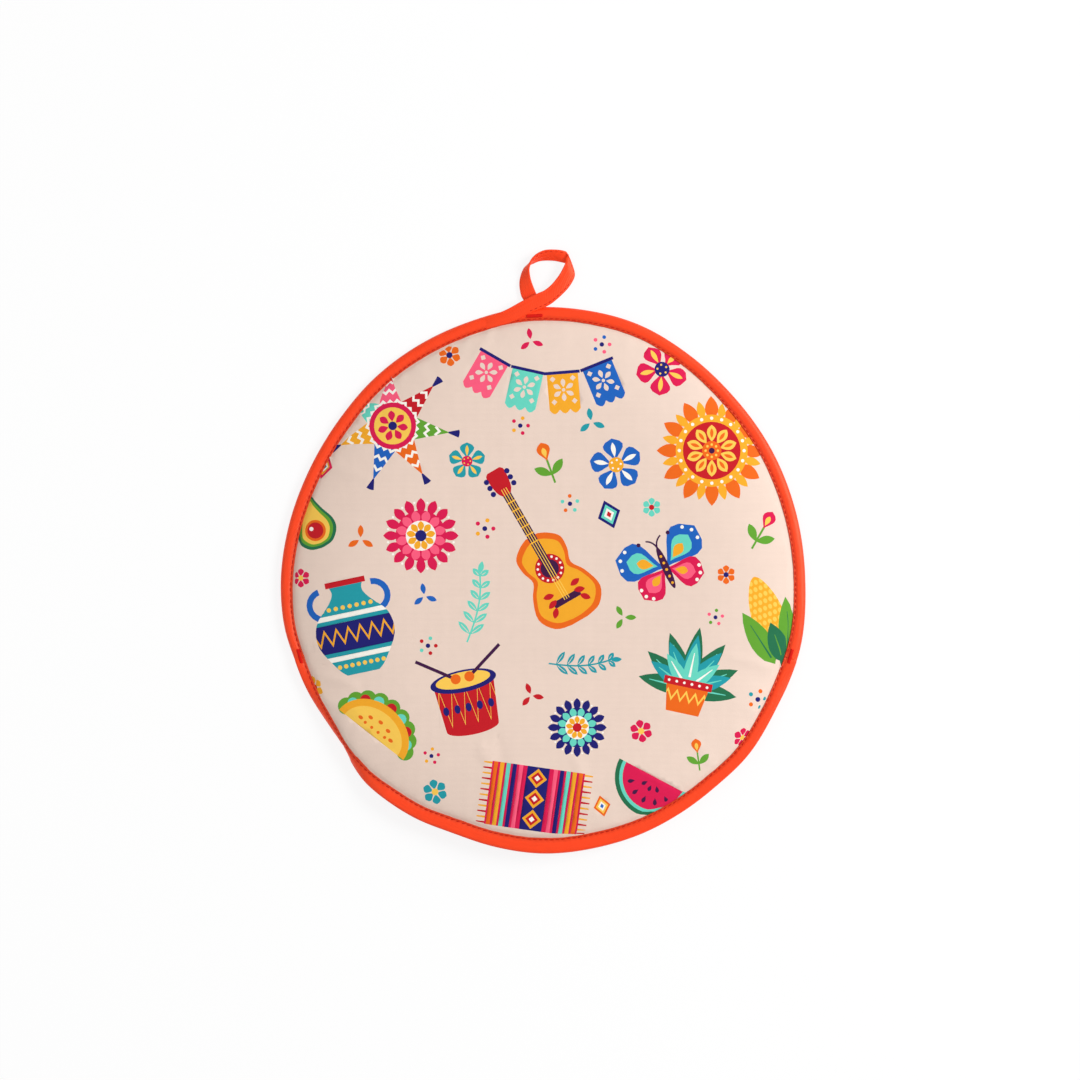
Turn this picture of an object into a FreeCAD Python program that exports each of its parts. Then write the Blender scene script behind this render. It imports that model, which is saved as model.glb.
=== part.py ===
# Insulated cloth pouch that keeps tortillas warm: two padded round panels, bound
# together round the rim with folded tape, open along a mouth at the bottom, with
# a hanging loop at the top. It lies on its back, +Z up out of the front panel,
# +Y towards the loop, and its origin is the centre of the back panel's underside.
import FreeCAD, Part
import os
import re
import Sketcher

# Driving sizes, in millimetres and degrees
SIZES = [
    ("pouch_radius", 152.5, "outer edge of the binding"),
    ("tape_width", 7.5, "binding seen from the front, after folding"),
    ("tape_thickness", 0.5, "one layer of binding tape"),
    ("cloth_thickness", 0.4, "printed cover and plain lining"),
    ("batting_loft", 3.6, "padding where it stands free"),
    ("batting_pressed", 0.7, "padding squeezed in the seam"),
    ("layer_clearance", 0.1, "between cloth, padding, tape and thread"),
    ("rim_height", 3.1, "middle of the rim seam above the table"),
    ("pocket_height", 6.0, "air between the two linings"),
    ("base_radius", 118.0, "flat part of the underside"),
    ("crown_radius", 95.0, "flat part of the front and of the pocket"),
    ("mouth_angle", 145.0, "arc of the rim left open as the mouth"),
    ("fold_clearance", 0.3, "across the fold line of the mouth flap"),
    ("lip_clearance", 0.3, "between the two mouth lips when shut"),
    ("gape_angle", 4.0, "how far the flap stands open at rest"),
    ("stitch_inset", 1.5, "stitch line from the tape's inner edge"),
    ("thread_diameter", 0.5, "sewing thread"),
    ("tack_length", 8.0, "bar tack, along the rim"),
    ("tack_width", 1.8, "bar tack, across the tape"),
    ("tack_thickness", 0.7, "bar tack, standing on the tape"),
    ("tack_fillet", 0.3, "rounded top of a bar tack"),
    ("tack_setback", 5.5, "middle of a mouth tack from the mouth corner"),
    ("loop_tack_offset", 6.0, "middle of the loop's tack, left of the loop"),
    ("loop_reach", 38.0, "hanging loop beyond the rim"),
    ("loop_width", 32.5, "hanging loop at its widest"),
    ("loop_tape_width", 6.5, "tape of the loop, folded lengthwise"),
    ("loop_tape_thickness", 1.2, "tape of the loop, two layers"),
    ("loop_base_length", 5.0, "crossed tape between the rim and the loop"),
    ("loop_base_spread", 18.0, "half width of the crossed tape at the rim"),
    ("loop_fold_clearance", 0.3, "between the crossed tape and the loop"),
    ("loop_thread_inset", 1.0, "loop's stitch line from its outer edge"),
]

# Radii of the rim, worked out from the driving sizes
LIP = "(2 * cloth_thickness + batting_pressed + 2 * layer_clearance)"
RIM_CHANNEL = f"({LIP} + 1.5 * layer_clearance)"
LIP_CHANNEL = f"({LIP} / 2 + layer_clearance)"
RIM_HALF_HEIGHT = f"({RIM_CHANNEL} + tape_thickness)"
TAPE_EDGE = "(pouch_radius - tape_width)"
SHOULDER_FOOT = f"({TAPE_EDGE} - layer_clearance)"
CLOTH_EDGE = f"(pouch_radius - {RIM_HALF_HEIGHT})"
STITCH_LINE = f"({TAPE_EDGE} + stitch_inset)"
TACK_LINE = f"({STITCH_LINE} + thread_diameter / 2 + layer_clearance + tack_width / 2)"

# Heights above the table, worked out from the driving sizes
PANEL = "(2 * cloth_thickness + batting_loft + 2 * layer_clearance)"
CEILING = f"({PANEL} + pocket_height)"
CROWN = f"({CEILING} + {PANEL})"
BACK_LIP_TOP = "(rim_height - layer_clearance / 2)"
BACK_LIP = f"({BACK_LIP_TOP} - {LIP})"
FRONT_LIP = "(rim_height + layer_clearance / 2)"
FLAP_LIP = f"({BACK_LIP_TOP} + 2 * layer_clearance + 2 * tape_thickness + lip_clearance)"
THREAD_LIFT = "(layer_clearance / 2 + thread_diameter / 2)"
RIM_TOP = f"(rim_height + {RIM_HALF_HEIGHT})"

# Places along Y
CHORD = "(-pouch_radius * cos(mouth_angle * 0.5deg))"
BASE_END = "(pouch_radius + loop_base_length)"
LOOP_HINGE = f"({BASE_END} + loop_fold_clearance + loop_tape_thickness / 2)"
LOOP_START = f"({LOOP_HINGE} - loop_fold_clearance)"
LOOP_THREAD_START = f"({LOOP_HINGE} + loop_tape_thickness + loop_fold_clearance)"
LOOP_CENTRE = "(pouch_radius + loop_reach - loop_width / 2)"


def add_sheet(document):
    """Put the driving sizes in a spreadsheet, one named cell each."""
    sheet = document.addObject("Spreadsheet::Sheet", "Sizes")
    for row, (alias, size, note) in enumerate(SIZES, start=1):
        sheet.set(f"A{row}", alias)
        sheet.set(f"B{row}", str(size))
        sheet.set(f"C{row}", note)
        sheet.setAlias(f"B{row}", alias)
    document.recompute()
    return sheet


document = FreeCAD.newDocument("TortillaWarmer")
sheet = add_sheet(document)
pieces = []


def bound(formula):
    """The formula with each size's name written as a reference to its cell."""
    return re.sub(r"[a-z]+(?:_[a-z]+)+", lambda name: "Sizes." + name.group(0), formula)


def value(formula):
    """The number that the formula gives now."""
    return float(sheet.evalExpression(bound(formula)))


def add_piece(name):
    """Start a sub-part: a body whose label names its file."""
    body = document.addObject("PartDesign::Body", name)
    body.Label = name
    pieces.append(body)
    return body


def attach_sketch(body, name, role):
    """Start a sketch on one of the body's own origin planes."""
    plane = [item for item in body.Origin.OriginFeatures if item.Role == role][0]
    sketch = body.newObject("Sketcher::SketchObject", name)
    sketch.AttachmentSupport = [(plane, "")]
    sketch.MapMode = "FlatFace"
    return sketch


def bind(sketch, kind, geometry, point, formula):
    """Add one dimension to a sketch and tie it to the sheet."""
    index = sketch.addConstraint(Sketcher.Constraint(kind, geometry, point, value(formula)))
    sketch.setExpression(f"Constraints[{index}]", bound(formula))


def arc_centre(start, end, along, place):
    """Centre of the arc between two points when one of its coordinates is known."""
    if along == "x":
        rise = end.y - start.y
        spread = (end.x - place) ** 2 - (start.x - place) ** 2
        return FreeCAD.Vector(place, (spread + end.y ** 2 - start.y ** 2) / (2 * rise), 0)
    run = end.x - start.x
    spread = (end.y - place) ** 2 - (start.y - place) ** 2
    return FreeCAD.Vector((spread + end.x ** 2 - start.x ** 2) / (2 * run), place, 0)


def arc_between(start, end, centre):
    """The shorter arc between two points, and whether it runs backwards."""
    backwards = (start - centre).cross(end - centre).z < 0
    first, last = (end, start) if backwards else (start, end)
    axis_x = FreeCAD.Vector(1, 0, 0)
    from_angle = axis_x.getAngle(first - centre) * (1 if first.y >= centre.y else -1)
    to_angle = axis_x.getAngle(last - centre) * (1 if last.y >= centre.y else -1)
    circle = Part.Circle(centre, FreeCAD.Vector(0, 0, 1), (first - centre).Length)
    return Part.ArcOfCircle(circle, from_angle, to_angle), backwards


def draw_outline(sketch, corners, arcs=None):
    """Draw a closed outline through the corners, each one tied to the sheet.

    arcs maps the number of a side to the coordinate of its centre that is
    known, as ("x", formula) or ("y", formula). Every other side is straight.
    """
    arcs = arcs or {}
    points = [FreeCAD.Vector(value(across), value(up), 0) for across, up in corners]
    first_side = sketch.GeometryCount
    starts = []
    ends = []
    for side, start in enumerate(points):
        end = points[(side + 1) % len(points)]
        if side in arcs:
            along, formula = arcs[side]
            centre = arc_centre(start, end, along, value(formula))
            curve, backwards = arc_between(start, end, centre)
        else:
            curve, backwards = Part.LineSegment(start, end), False
        sketch.addGeometry(curve)
        starts.append(2 if backwards else 1)
        ends.append(1 if backwards else 2)
    for side, (across, up) in enumerate(corners):
        following = (side + 1) % len(corners)
        joint = (first_side + side, ends[side], first_side + following, starts[following])
        sketch.addConstraint(Sketcher.Constraint("Coincident", *joint))
        bind(sketch, "DistanceX", first_side + side, starts[side], across)
        bind(sketch, "DistanceY", first_side + side, starts[side], up)
    for side, (along, formula) in arcs.items():
        kind = "DistanceX" if along == "x" else "DistanceY"
        bind(sketch, kind, first_side + side, 3, formula)


def draw_circle(sketch, across, up, radius):
    """Draw one circle, its centre and radius tied to the sheet."""
    centre = FreeCAD.Vector(value(across), value(up), 0)
    circle = Part.Circle(centre, FreeCAD.Vector(0, 0, 1), value(radius))
    index = sketch.addGeometry(circle)
    bind(sketch, "DistanceX", index, 3, across)
    bind(sketch, "DistanceY", index, 3, up)
    number = sketch.addConstraint(Sketcher.Constraint("Radius", index, value(radius)))
    sketch.setExpression(f"Constraints[{number}]", bound(radius))


def revolve(body, sketch, angle="360"):
    """Turn a sketch of the XZ plane round the Z axis, as far on either side of +X."""
    turned = body.newObject("PartDesign::Revolution", body.Name + "Round")
    turned.Profile = (sketch, [""])
    turned.ReferenceAxis = (sketch, ["V_Axis"])
    turned.Midplane = True
    turned.setExpression("Angle", bound(angle))
    document.recompute()


def keep_side(body, side):
    """Cut a round piece along the fold line and keep one side of it."""
    if side == "whole":
        return
    before = body.Shape.Volume
    far = "(pouch_radius * 1.1)"
    if side == "upper":
        edges = (f"-{far}", f"{CHORD} + fold_clearance / 2")
    else:
        edges = (f"{CHORD} - fold_clearance / 2", far)
    sketch = attach_sketch(body, body.Name + "CutSketch", "XY_Plane")
    low, high = edges
    draw_outline(sketch, [(f"-{far}", low), (far, low), (far, high), (f"-{far}", high)])
    cut = body.newObject("PartDesign::Pocket", body.Name + "Cut")
    cut.Profile = (sketch, [""])
    cut.SideType = "Symmetric"
    cut.Type = "ThroughAll"
    document.recompute()
    if not 0.01 * before < body.Shape.Volume < 0.99 * before:
        raise ValueError(body.Name + " isn't cut at the fold line")


def gape(body):
    """Tilt a piece of the mouth flap open about the fold line."""
    hinge = FreeCAD.Vector(0, value(CHORD), value(CROWN))
    turn = FreeCAD.Rotation(FreeCAD.Vector(-1, 0, 0), value("gape_angle"))
    body.Placement = FreeCAD.Placement(FreeCAD.Vector(0, 0, 0), turn, hinge)


def make_layer(name, side, under, over):
    """One layer of a padded panel.

    Each face is flat in the middle, rounds off over the shoulder and ends in
    the flat lip inside the seam: (flat height, flat radius, lip height).
    """
    body = add_piece(name)
    sketch = attach_sketch(body, name + "Profile", "XZ_Plane")
    corners = [
        ("0", under[0]),
        (under[1], under[0]),
        (SHOULDER_FOOT, under[2]),
        (CLOTH_EDGE, under[2]),
        (CLOTH_EDGE, over[2]),
        (SHOULDER_FOOT, over[2]),
        (over[1], over[0]),
        ("0", over[0]),
    ]
    draw_outline(sketch, corners, {1: ("x", under[1]), 5: ("x", over[1])})
    revolve(body, sketch)
    keep_side(body, side)
    return body


def make_panel(names, side, under, over):
    """Three layers from the bottom up: cloth, padding, cloth."""
    clear = "layer_clearance"
    cloth = "cloth_thickness"
    under_top = (f"{under[0]} + {cloth}", under[1], f"{under[2]} + {cloth}")
    over_base = (f"{over[0]} - {cloth}", over[1], f"{over[2]} - {cloth}")
    fill_base = (f"{under_top[0]} + {clear}", under[1], f"{under_top[2]} + {clear}")
    fill_top = (f"{over_base[0]} - {clear}", over[1], f"{over_base[2]} - {clear}")
    faces = [(under, under_top), (fill_base, fill_top), (over_base, over)]
    return [make_layer(name, side, low, high) for name, (low, high) in zip(names, faces)]


def make_binding(name, side, middle, channel):
    """Tape folded round the edge of the cloth, open towards the middle."""
    body = add_piece(name)
    outside = f"({channel} + tape_thickness)"
    bend = f"(pouch_radius - {outside})"
    corners = [
        (TAPE_EDGE, f"{middle} - {outside}"),
        (bend, f"{middle} - {outside}"),
        ("pouch_radius", middle),
        (bend, f"{middle} + {outside}"),
        (TAPE_EDGE, f"{middle} + {outside}"),
        (TAPE_EDGE, f"{middle} + {channel}"),
        (bend, f"{middle} + {channel}"),
        ("pouch_radius - tape_thickness", middle),
        (bend, f"{middle} - {channel}"),
        (TAPE_EDGE, f"{middle} - {channel}"),
    ]
    sketch = attach_sketch(body, name + "Profile", "XZ_Plane")
    draw_outline(sketch, corners, {side_number: ("x", bend) for side_number in (1, 2, 6, 7)})
    revolve(body, sketch)
    keep_side(body, side)
    return body


def make_stitching(name, side, height):
    """One row of thread along the tape."""
    body = add_piece(name)
    sketch = attach_sketch(body, name + "Profile", "XZ_Plane")
    draw_circle(sketch, STITCH_LINE, height, "thread_diameter / 2")
    if side == "upper":
        revolve(body, sketch, "360 - mouth_angle")
        body.Placement.Rotation = FreeCAD.Rotation(FreeCAD.Vector(0, 0, 1), 90)
    else:
        revolve(body, sketch)
        keep_side(body, side)
    return body


def pad(body, sketch, height, symmetric):
    """Raise a sketch of the XY plane by the given height."""
    raised = body.newObject("PartDesign::Pad", body.Name + "Pad")
    raised.Profile = (sketch, [""])
    raised.SideType = "Symmetric" if symmetric else "One side"
    raised.setExpression("Length", bound(height))
    document.recompute()
    return raised


def make_tack(name, angle):
    """A bar tack: a short dense bar of thread across the end of a seam."""
    body = add_piece(name)
    sketch = attach_sketch(body, name + "Outline", "XY_Plane")
    inner = f"{TACK_LINE} - tack_width / 2"
    outer = f"{TACK_LINE} + tack_width / 2"
    low = "-tack_length / 2"
    high = "tack_length / 2"
    draw_outline(sketch, [(inner, low), (outer, low), (outer, high), (inner, high)])
    bar = pad(body, sketch, "tack_thickness", symmetric=False)
    top = value("tack_thickness")
    edges = []
    for number, edge in enumerate(bar.Shape.Edges, start=1):
        if edge.BoundBox.ZMin > top - value("layer_clearance"):
            edges.append(f"Edge{number}")
    rounded = body.newObject("PartDesign::Fillet", name + "Fillet")
    rounded.Base = (bar, edges)
    rounded.setExpression("Radius", bound("tack_fillet"))
    body.Placement = FreeCAD.Placement(
        FreeCAD.Vector(0, 0, value(f"{RIM_TOP} + layer_clearance / 2")),
        FreeCAD.Rotation(FreeCAD.Vector(0, 0, 1), angle),
    )
    document.recompute()


def loop_side(inset, start=LOOP_START):
    """Path up one strand of the loop, over its top and down the other.

    The path is the loop's outer edge drawn in by the inset. Sides 1 to 4 of
    its corners are arcs about the loop's centre, given as an outline's arcs.
    """
    radius = f"(loop_width / 2 - {inset})"
    across = f"{radius} * sqrt(0.5)"
    low = f"{LOOP_CENTRE} - {across}"
    foot = f"(loop_tape_width - {inset})"
    corners = [
        (foot, start),
        (across, low),
        (radius, LOOP_CENTRE),
        ("0", f"{LOOP_CENTRE} + {radius}"),
        (f"-{radius}", LOOP_CENTRE),
        (f"-{across}", low),
        (f"-{foot}", start),
    ]
    return corners, {1: ("y", LOOP_CENTRE), 2: ("x", "0"), 3: ("x", "0"), 4: ("y", LOOP_CENTRE)}


def make_loop():
    """The hanging loop: the tape's tail, lying flat and closed on itself."""
    body = add_piece("hanging_loop")
    sketch = attach_sketch(body, "LoopOutline", "XY_Plane")
    draw_outline(sketch, *loop_side("0"))
    eye, arcs = loop_side("loop_tape_width")
    point = ("0", f"{LOOP_START} + loop_tape_width")
    draw_outline(sketch, [point] + eye[1:-1], arcs)
    pad(body, sketch, "loop_tape_thickness", symmetric=True)
    body.setExpression("Placement.Base.z", bound("rim_height"))


def make_loop_stitching():
    """One row of thread along the loop's outer edge, on its upper face.

    It starts far enough up the loop to clear the crossed tape when the loop swings.
    """
    body = add_piece("loop_stitching")
    sketch = attach_sketch(body, "LoopThreadOutline", "XY_Plane")
    outer, arcs = loop_side("loop_thread_inset", LOOP_THREAD_START)
    inner, inner_arcs = loop_side("(loop_thread_inset + thread_diameter)", LOOP_THREAD_START)
    last_side = 2 * len(outer) - 2
    for side, centre in inner_arcs.items():
        arcs[last_side - side] = centre
    draw_outline(sketch, outer + inner[::-1], arcs)
    pad(body, sketch, "thread_diameter", symmetric=False)
    lift = "rim_height + loop_tape_thickness / 2 + layer_clearance / 2"
    body.setExpression("Placement.Base.z", bound(lift))


def make_loop_base():
    """The two ends of the loop's tape, crossed and sewn to the rim."""
    body = add_piece("loop_base")
    sketch = attach_sketch(body, "LoopBaseOutline", "XY_Plane")
    seat = "(pouch_radius + layer_clearance)"
    side = f"sqrt({seat}^2 - loop_base_spread^2)"
    corners = [
        ("-loop_base_spread", side),
        ("0", seat),
        ("loop_base_spread", side),
        ("loop_tape_width", BASE_END),
        ("-loop_tape_width", BASE_END),
    ]
    draw_outline(sketch, corners, {0: ("x", "0"), 1: ("x", "0")})
    pad(body, sketch, "2 * loop_tape_thickness", symmetric=True)
    body.setExpression("Placement.Base.z", bound("rim_height"))


def make_back():
    """The back panel, whole and flat underneath."""
    under = ("0", "base_radius", BACK_LIP)
    over = (PANEL, "crown_radius", BACK_LIP_TOP)
    make_panel(["back_shell", "back_batting", "back_lining"], "whole", under, over)


def make_front():
    """The front panel above the fold line, sewn to the back all round."""
    under = (CEILING, "crown_radius", FRONT_LIP)
    over = (CROWN, "crown_radius", f"{FRONT_LIP} + {LIP}")
    make_panel(["front_lining", "front_batting", "front_shell"], "upper", under, over)


def make_flap():
    """The front panel below the fold line, which lifts to open the mouth."""
    under = (CEILING, "crown_radius", FLAP_LIP)
    over = (CROWN, "crown_radius", f"{FLAP_LIP} + {LIP}")
    layers = make_panel(["flap_lining", "flap_batting", "flap_shell"], "mouth", under, over)
    middle = f"({FLAP_LIP} + {LIP} / 2)"
    layers.append(make_binding("flap_binding", "mouth", middle, LIP_CHANNEL))
    thread = f"{middle} + {LIP_CHANNEL} + tape_thickness + {THREAD_LIFT}"
    layers.append(make_stitching("flap_stitching", "mouth", thread))
    for layer in layers:
        gape(layer)


def make_rim():
    """The binding that joins the panels, the back lip's own binding, and their thread."""
    make_binding("edge_binding", "upper", "rim_height", RIM_CHANNEL)
    make_stitching("edge_stitching_front", "upper", f"{RIM_TOP} + {THREAD_LIFT}")
    under_rim = f"rim_height - {RIM_HALF_HEIGHT} - {THREAD_LIFT}"
    make_stitching("edge_stitching_back", "upper", under_rim)
    middle = f"({BACK_LIP} + {LIP} / 2)"
    make_binding("back_mouth_binding", "mouth", middle, LIP_CHANNEL)
    under_lip = f"{middle} - {LIP_CHANNEL} - tape_thickness - {THREAD_LIFT}"
    make_stitching("back_mouth_stitching", "mouth", under_lip)


def make_tacks():
    """Bar tacks at both mouth corners and beside the loop."""
    corner = value("90 - mouth_angle / 2")
    setback = value(f"tack_setback / {TACK_LINE} * 180 / pi")
    make_tack("bar_tack_right", setback - corner)
    make_tack("bar_tack_left", 180 + corner - setback)
    make_tack("loop_tack", 90 + value(f"loop_tack_offset / {TACK_LINE} * 180 / pi"))


def check_pieces():
    """Stop if any object failed to build or any sub-part has no sound solid."""
    for item in document.Objects:
        if "Invalid" in item.State or "Error" in item.State:
            raise ValueError(item.Name + " failed to build")
    for body in pieces:
        shape = body.Shape
        if shape.isNull() or not shape.isValid() or not shape.Solids:
            raise ValueError(body.Label + " has no sound solid")


def write_pieces():
    """Write each sub-part to its own file."""
    os.makedirs("parts", exist_ok=True)
    for body in pieces:
        body.Shape.exportStep(os.path.join("parts", body.Label + ".step"))


make_back()
make_front()
make_rim()
make_flap()
make_tacks()
make_loop_base()
make_loop()
make_loop_stitching()
document.recompute()
check_pieces()
write_pieces()
for piece in pieces:
    print(piece.Label, len(piece.Shape.Solids), round(piece.Shape.Volume, 1))
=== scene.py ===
import math

import bmesh
import bpy
import numpy as np
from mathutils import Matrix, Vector, noise
from mathutils.bvhtree import BVHTree
from mathutils.geometry import delaunay_2d_cdt


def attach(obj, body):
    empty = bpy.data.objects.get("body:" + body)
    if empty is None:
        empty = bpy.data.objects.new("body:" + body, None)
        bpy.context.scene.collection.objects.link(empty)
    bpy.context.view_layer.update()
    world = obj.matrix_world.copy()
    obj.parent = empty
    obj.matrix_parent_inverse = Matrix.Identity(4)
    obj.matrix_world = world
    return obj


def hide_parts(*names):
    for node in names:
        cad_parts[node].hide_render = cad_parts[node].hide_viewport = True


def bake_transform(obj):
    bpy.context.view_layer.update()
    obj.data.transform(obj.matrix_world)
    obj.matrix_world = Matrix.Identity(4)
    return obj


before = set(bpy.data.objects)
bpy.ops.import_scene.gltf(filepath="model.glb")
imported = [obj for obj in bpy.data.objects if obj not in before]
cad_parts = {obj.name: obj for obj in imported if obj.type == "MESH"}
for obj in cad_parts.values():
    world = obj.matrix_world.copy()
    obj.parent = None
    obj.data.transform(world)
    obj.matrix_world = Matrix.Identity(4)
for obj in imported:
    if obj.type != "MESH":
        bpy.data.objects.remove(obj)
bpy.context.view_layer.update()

# Lengths are in millimetres up to the making of a mesh
MM = 0.001
MOUTH_START = 197.5
MOUTH_STOP = 342.5
HINGE_Y = -45.86
HINGE_Z = 15.2
GAPE = math.radians(4)
GAPE_STOP = -64
BEND_START = -43.5
BEND_STOP = -63
TAPE_THICKNESS = 0.5
TAPE_OVER_CLOTH = 0.6
TAPE_CREST = 0.26
# The tape's folded inner edge and the groove that its stitches pull in: how far out, and how high
TAPE_LIP = [(0.05, -0.42), (0.14, -0.12), (0.5, 0.02), (0.9, -0.16), (1.2, -0.26), (1.6, -0.1), (2.2, 0.14)]
STITCH_INSET = 1.1
STITCH_PITCH = 3.2
CLOTH_INSET = 2.5
SEAM_RINGS = (-1.8, -0.1, 0.6, 1.5, 2.8)
# How far apart a cloth's points are where it bends with the flap
BEND_SPACING = 1.5
SIDE_LIP = 5.45
FLAP_LIP = 6.65
FLAP_UNDER = 3.8
BACK_UNDER = 0.75
BACK_LIP = 3.65
FRONT_PEAK = 15.25
CEILING = 10.8
BACK_FACE = 0.15
POCKET_FLOOR = 4.5
# How far a cloth turns to the middle of the tape that holds its edge
INTO_TAPE = 0.35
# How far in from the seam each panel goes on rising
FRONT_CROWN = 62
BACK_CROWN = 26
BACK_LINING_CROWN = 40
# The linings at their seams, and how much higher the front one starts along the mouth
FRONT_LINING_FOOT = 3.2
MOUTH_RISE = 1.45
BACK_LINING_FOOT = 3.0
BACK_BULGE = 1.25
# The radius that lengths along the rim are worked out at
MEAN_RIM = 150
# Half the side of the square that a cloth's grid of points covers, and the side that its map covers
GRID_HALF = 170
MAP_SIZE = 320

# The outline of the front, laid flat: angle in degrees, distance from the middle
OUTLINE = [
    (-15, 151.0), (0, 149.0), (15, 149.0), (30, 150.0), (45, 151.3), (58, 153.9), (70, 156.6),
    (82, 157.1), (95, 157.0), (106, 155.0), (118, 153.5), (130, 152.0), (142, 150.0), (155, 149.4),
    (168, 150.2), (180, 151.3), (190, 151.4), (198, 150.0), (207, 149.9), (214, 151.1), (219, 153.2),
    (225, 153.9), (232, 153.6), (241, 153.3), (250, 152.1), (260, 153.3), (270, 154.3), (282, 153.7),
    (291, 153.3), (300, 152.4), (310, 151.6), (320, 152.0), (332, 150.3), (345, 151.0), (360, 149.0),
    (375, 149.0),
]
# How wide the tape lies on the front
TAPE_WIDTH = [
    (0, 6.8), (30, 7.4), (60, 7.4), (78, 7.8), (95, 8.0), (120, 7.8), (150, 7.6), (172, 7.4),
    (186, 6.8), (200, 5.9), (212, 6.9), (219, 7.7), (228, 7.6), (238, 8.2), (255, 8.6), (270, 9.0),
    (285, 8.8), (300, 8.2), (318, 7.6), (330, 7.4), (342, 7.8), (350, 7.2), (360, 6.8),
]
# How far the front lip rolls under, in degrees
ROLL = [
    (0, 0), (199, 0), (204, 45), (209, 78), (215, 116), (218.8, 176),
    (222.6, 96), (228.6, 34), (233, 0), (360, 0),
]
# How steeply the rolled lip leaves its seam
ROLL_LEAN = math.radians(28)
# What a full half turn of roll takes off the lip's thickness, and how far and how deep it lifts the panel
ROLL_THINNING = 0.4
ROLL_LIFT = 0.9
ROLL_LIFT_RUN = 30
# How much smaller the back lip is than the front one
BACK_SETBACK = [
    (0, 0), (100, 0), (150, 0), (175, 0), (190, 0), (198, 0), (203, 1.0), (209, 3.5), (215, 5.4),
    (221, 5.6), (230, 4.6), (242, 3.4), (258, 2.4), (280, 1.7), (305, 1.2), (322, 0.8), (334, 0.4),
    (342, 0), (350, 0), (360, 0),
]


def spline(rows, steps):
    """A smooth curve through rows of numbers, with this many steps between each two."""
    rows = np.array(rows, float)
    ends = np.vstack([2 * rows[0] - rows[1], rows, 2 * rows[-1] - rows[-2]])
    t = np.linspace(0, 1, steps, endpoint=False)[:, None]
    runs = []
    for a, b, c, d in zip(ends[:-3], ends[1:-2], ends[2:-1], ends[3:]):
        runs.append(b + t / 2 * (c - a + t * (2 * a - 5 * b + 4 * c - d + t * (3 * (b - c) + d - a))))
    return np.vstack([*runs, rows[-1:]])


def along_ring(rows, smooth=True):
    """A function of the angle in degrees that passes through the rows."""
    table = spline(rows, 8) if smooth else np.array(rows, float)

    def at(degrees):
        return np.interp(np.mod(degrees, 360), table[:, 0], table[:, 1])

    return at


front_radius = along_ring(OUTLINE)
tape_width = along_ring(TAPE_WIDTH)
roll_angle = along_ring(ROLL, False)
back_setback = along_ring(BACK_SETBACK)


def back_radius(degrees):
    return front_radius(degrees) - back_setback(degrees)


def smoothstep(t):
    t = np.clip(t, 0, 1)
    return t * t * (3 - 2 * t)


def in_mouth(degrees, run=12):
    """0 on the sewn side of the rim, and 1 along the mouth a little past its corners."""
    turn = np.mod(degrees, 360)
    return smoothstep(np.minimum(turn - MOUTH_START, MOUTH_STOP - turn) / run)


def front_lip(degrees):
    """The top of the tape on the front."""
    return SIDE_LIP + (FLAP_LIP - SIDE_LIP) * in_mouth(degrees)


def to_polar(points):
    return np.hypot(points[:, 0], points[:, 1]), np.degrees(np.arctan2(points[:, 1], points[:, 0]))


def inset_from(reach, points):
    """How far points lie inside the tape of a panel, and at which angle."""
    radius, degrees = to_polar(points)
    return reach(degrees) - tape_width(degrees) - radius, degrees


def on_ring(radius, degrees, height):
    """Points at these distances, angles and heights about the middle."""
    turn = np.radians(degrees)
    return np.stack([radius * np.cos(turn), radius * np.sin(turn), height], 1)


def run_along(path):
    """The distance gone along a path at each of its points."""
    steps = np.linalg.norm(np.diff(path, axis=0), axis=1)
    return np.concatenate([[0], np.cumsum(steps)])


def wave(points, size, seed=0.0):
    """Soft random waves of about this size at each point, from -1 to 1."""
    points = np.asarray(points, float) / size
    return np.array([noise.noise(Vector((p[0], p[1], p[2] + seed))) for p in points])


def rim_wave(degrees, size, seed):
    """Random waves along the rim, of this length."""
    return wave(on_ring(MEAN_RIM, degrees, 0.0 * degrees), size, seed)


def crown(inset, run=FRONT_CROWN):
    """How far a padded panel has risen at a distance inside its tape, steep at first and then flat."""
    s = np.clip((inset - 0.25) / run, 0, 1)
    return (1 - (1 - s) ** 2.4) ** 0.68


def cover_height(points):
    """The front cloth before it settles on its padding."""
    inset, degrees = inset_from(front_radius, points)
    foot = front_lip(degrees) - TAPE_OVER_CLOTH - INTO_TAPE * smoothstep(-inset / 1.5)
    return foot + (FRONT_PEAK - foot) * crown(inset)


def front_lining_height(points):
    inset, degrees = inset_from(front_radius, points)
    foot = FRONT_LINING_FOOT + MOUTH_RISE * in_mouth(degrees, 2.5) + INTO_TAPE * smoothstep(-inset / 1.5)
    return foot + (CEILING - foot) * crown(inset)


def back_cover_height(points):
    inset, _ = inset_from(back_radius, points)
    return BACK_FACE + BACK_BULGE * (1 - crown(inset, BACK_CROWN))


def back_lining_height(points):
    inset, _ = inset_from(back_radius, points)
    return BACK_LINING_FOOT + (POCKET_FLOOR - BACK_LINING_FOOT) * crown(inset, BACK_LINING_CROWN)


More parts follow.
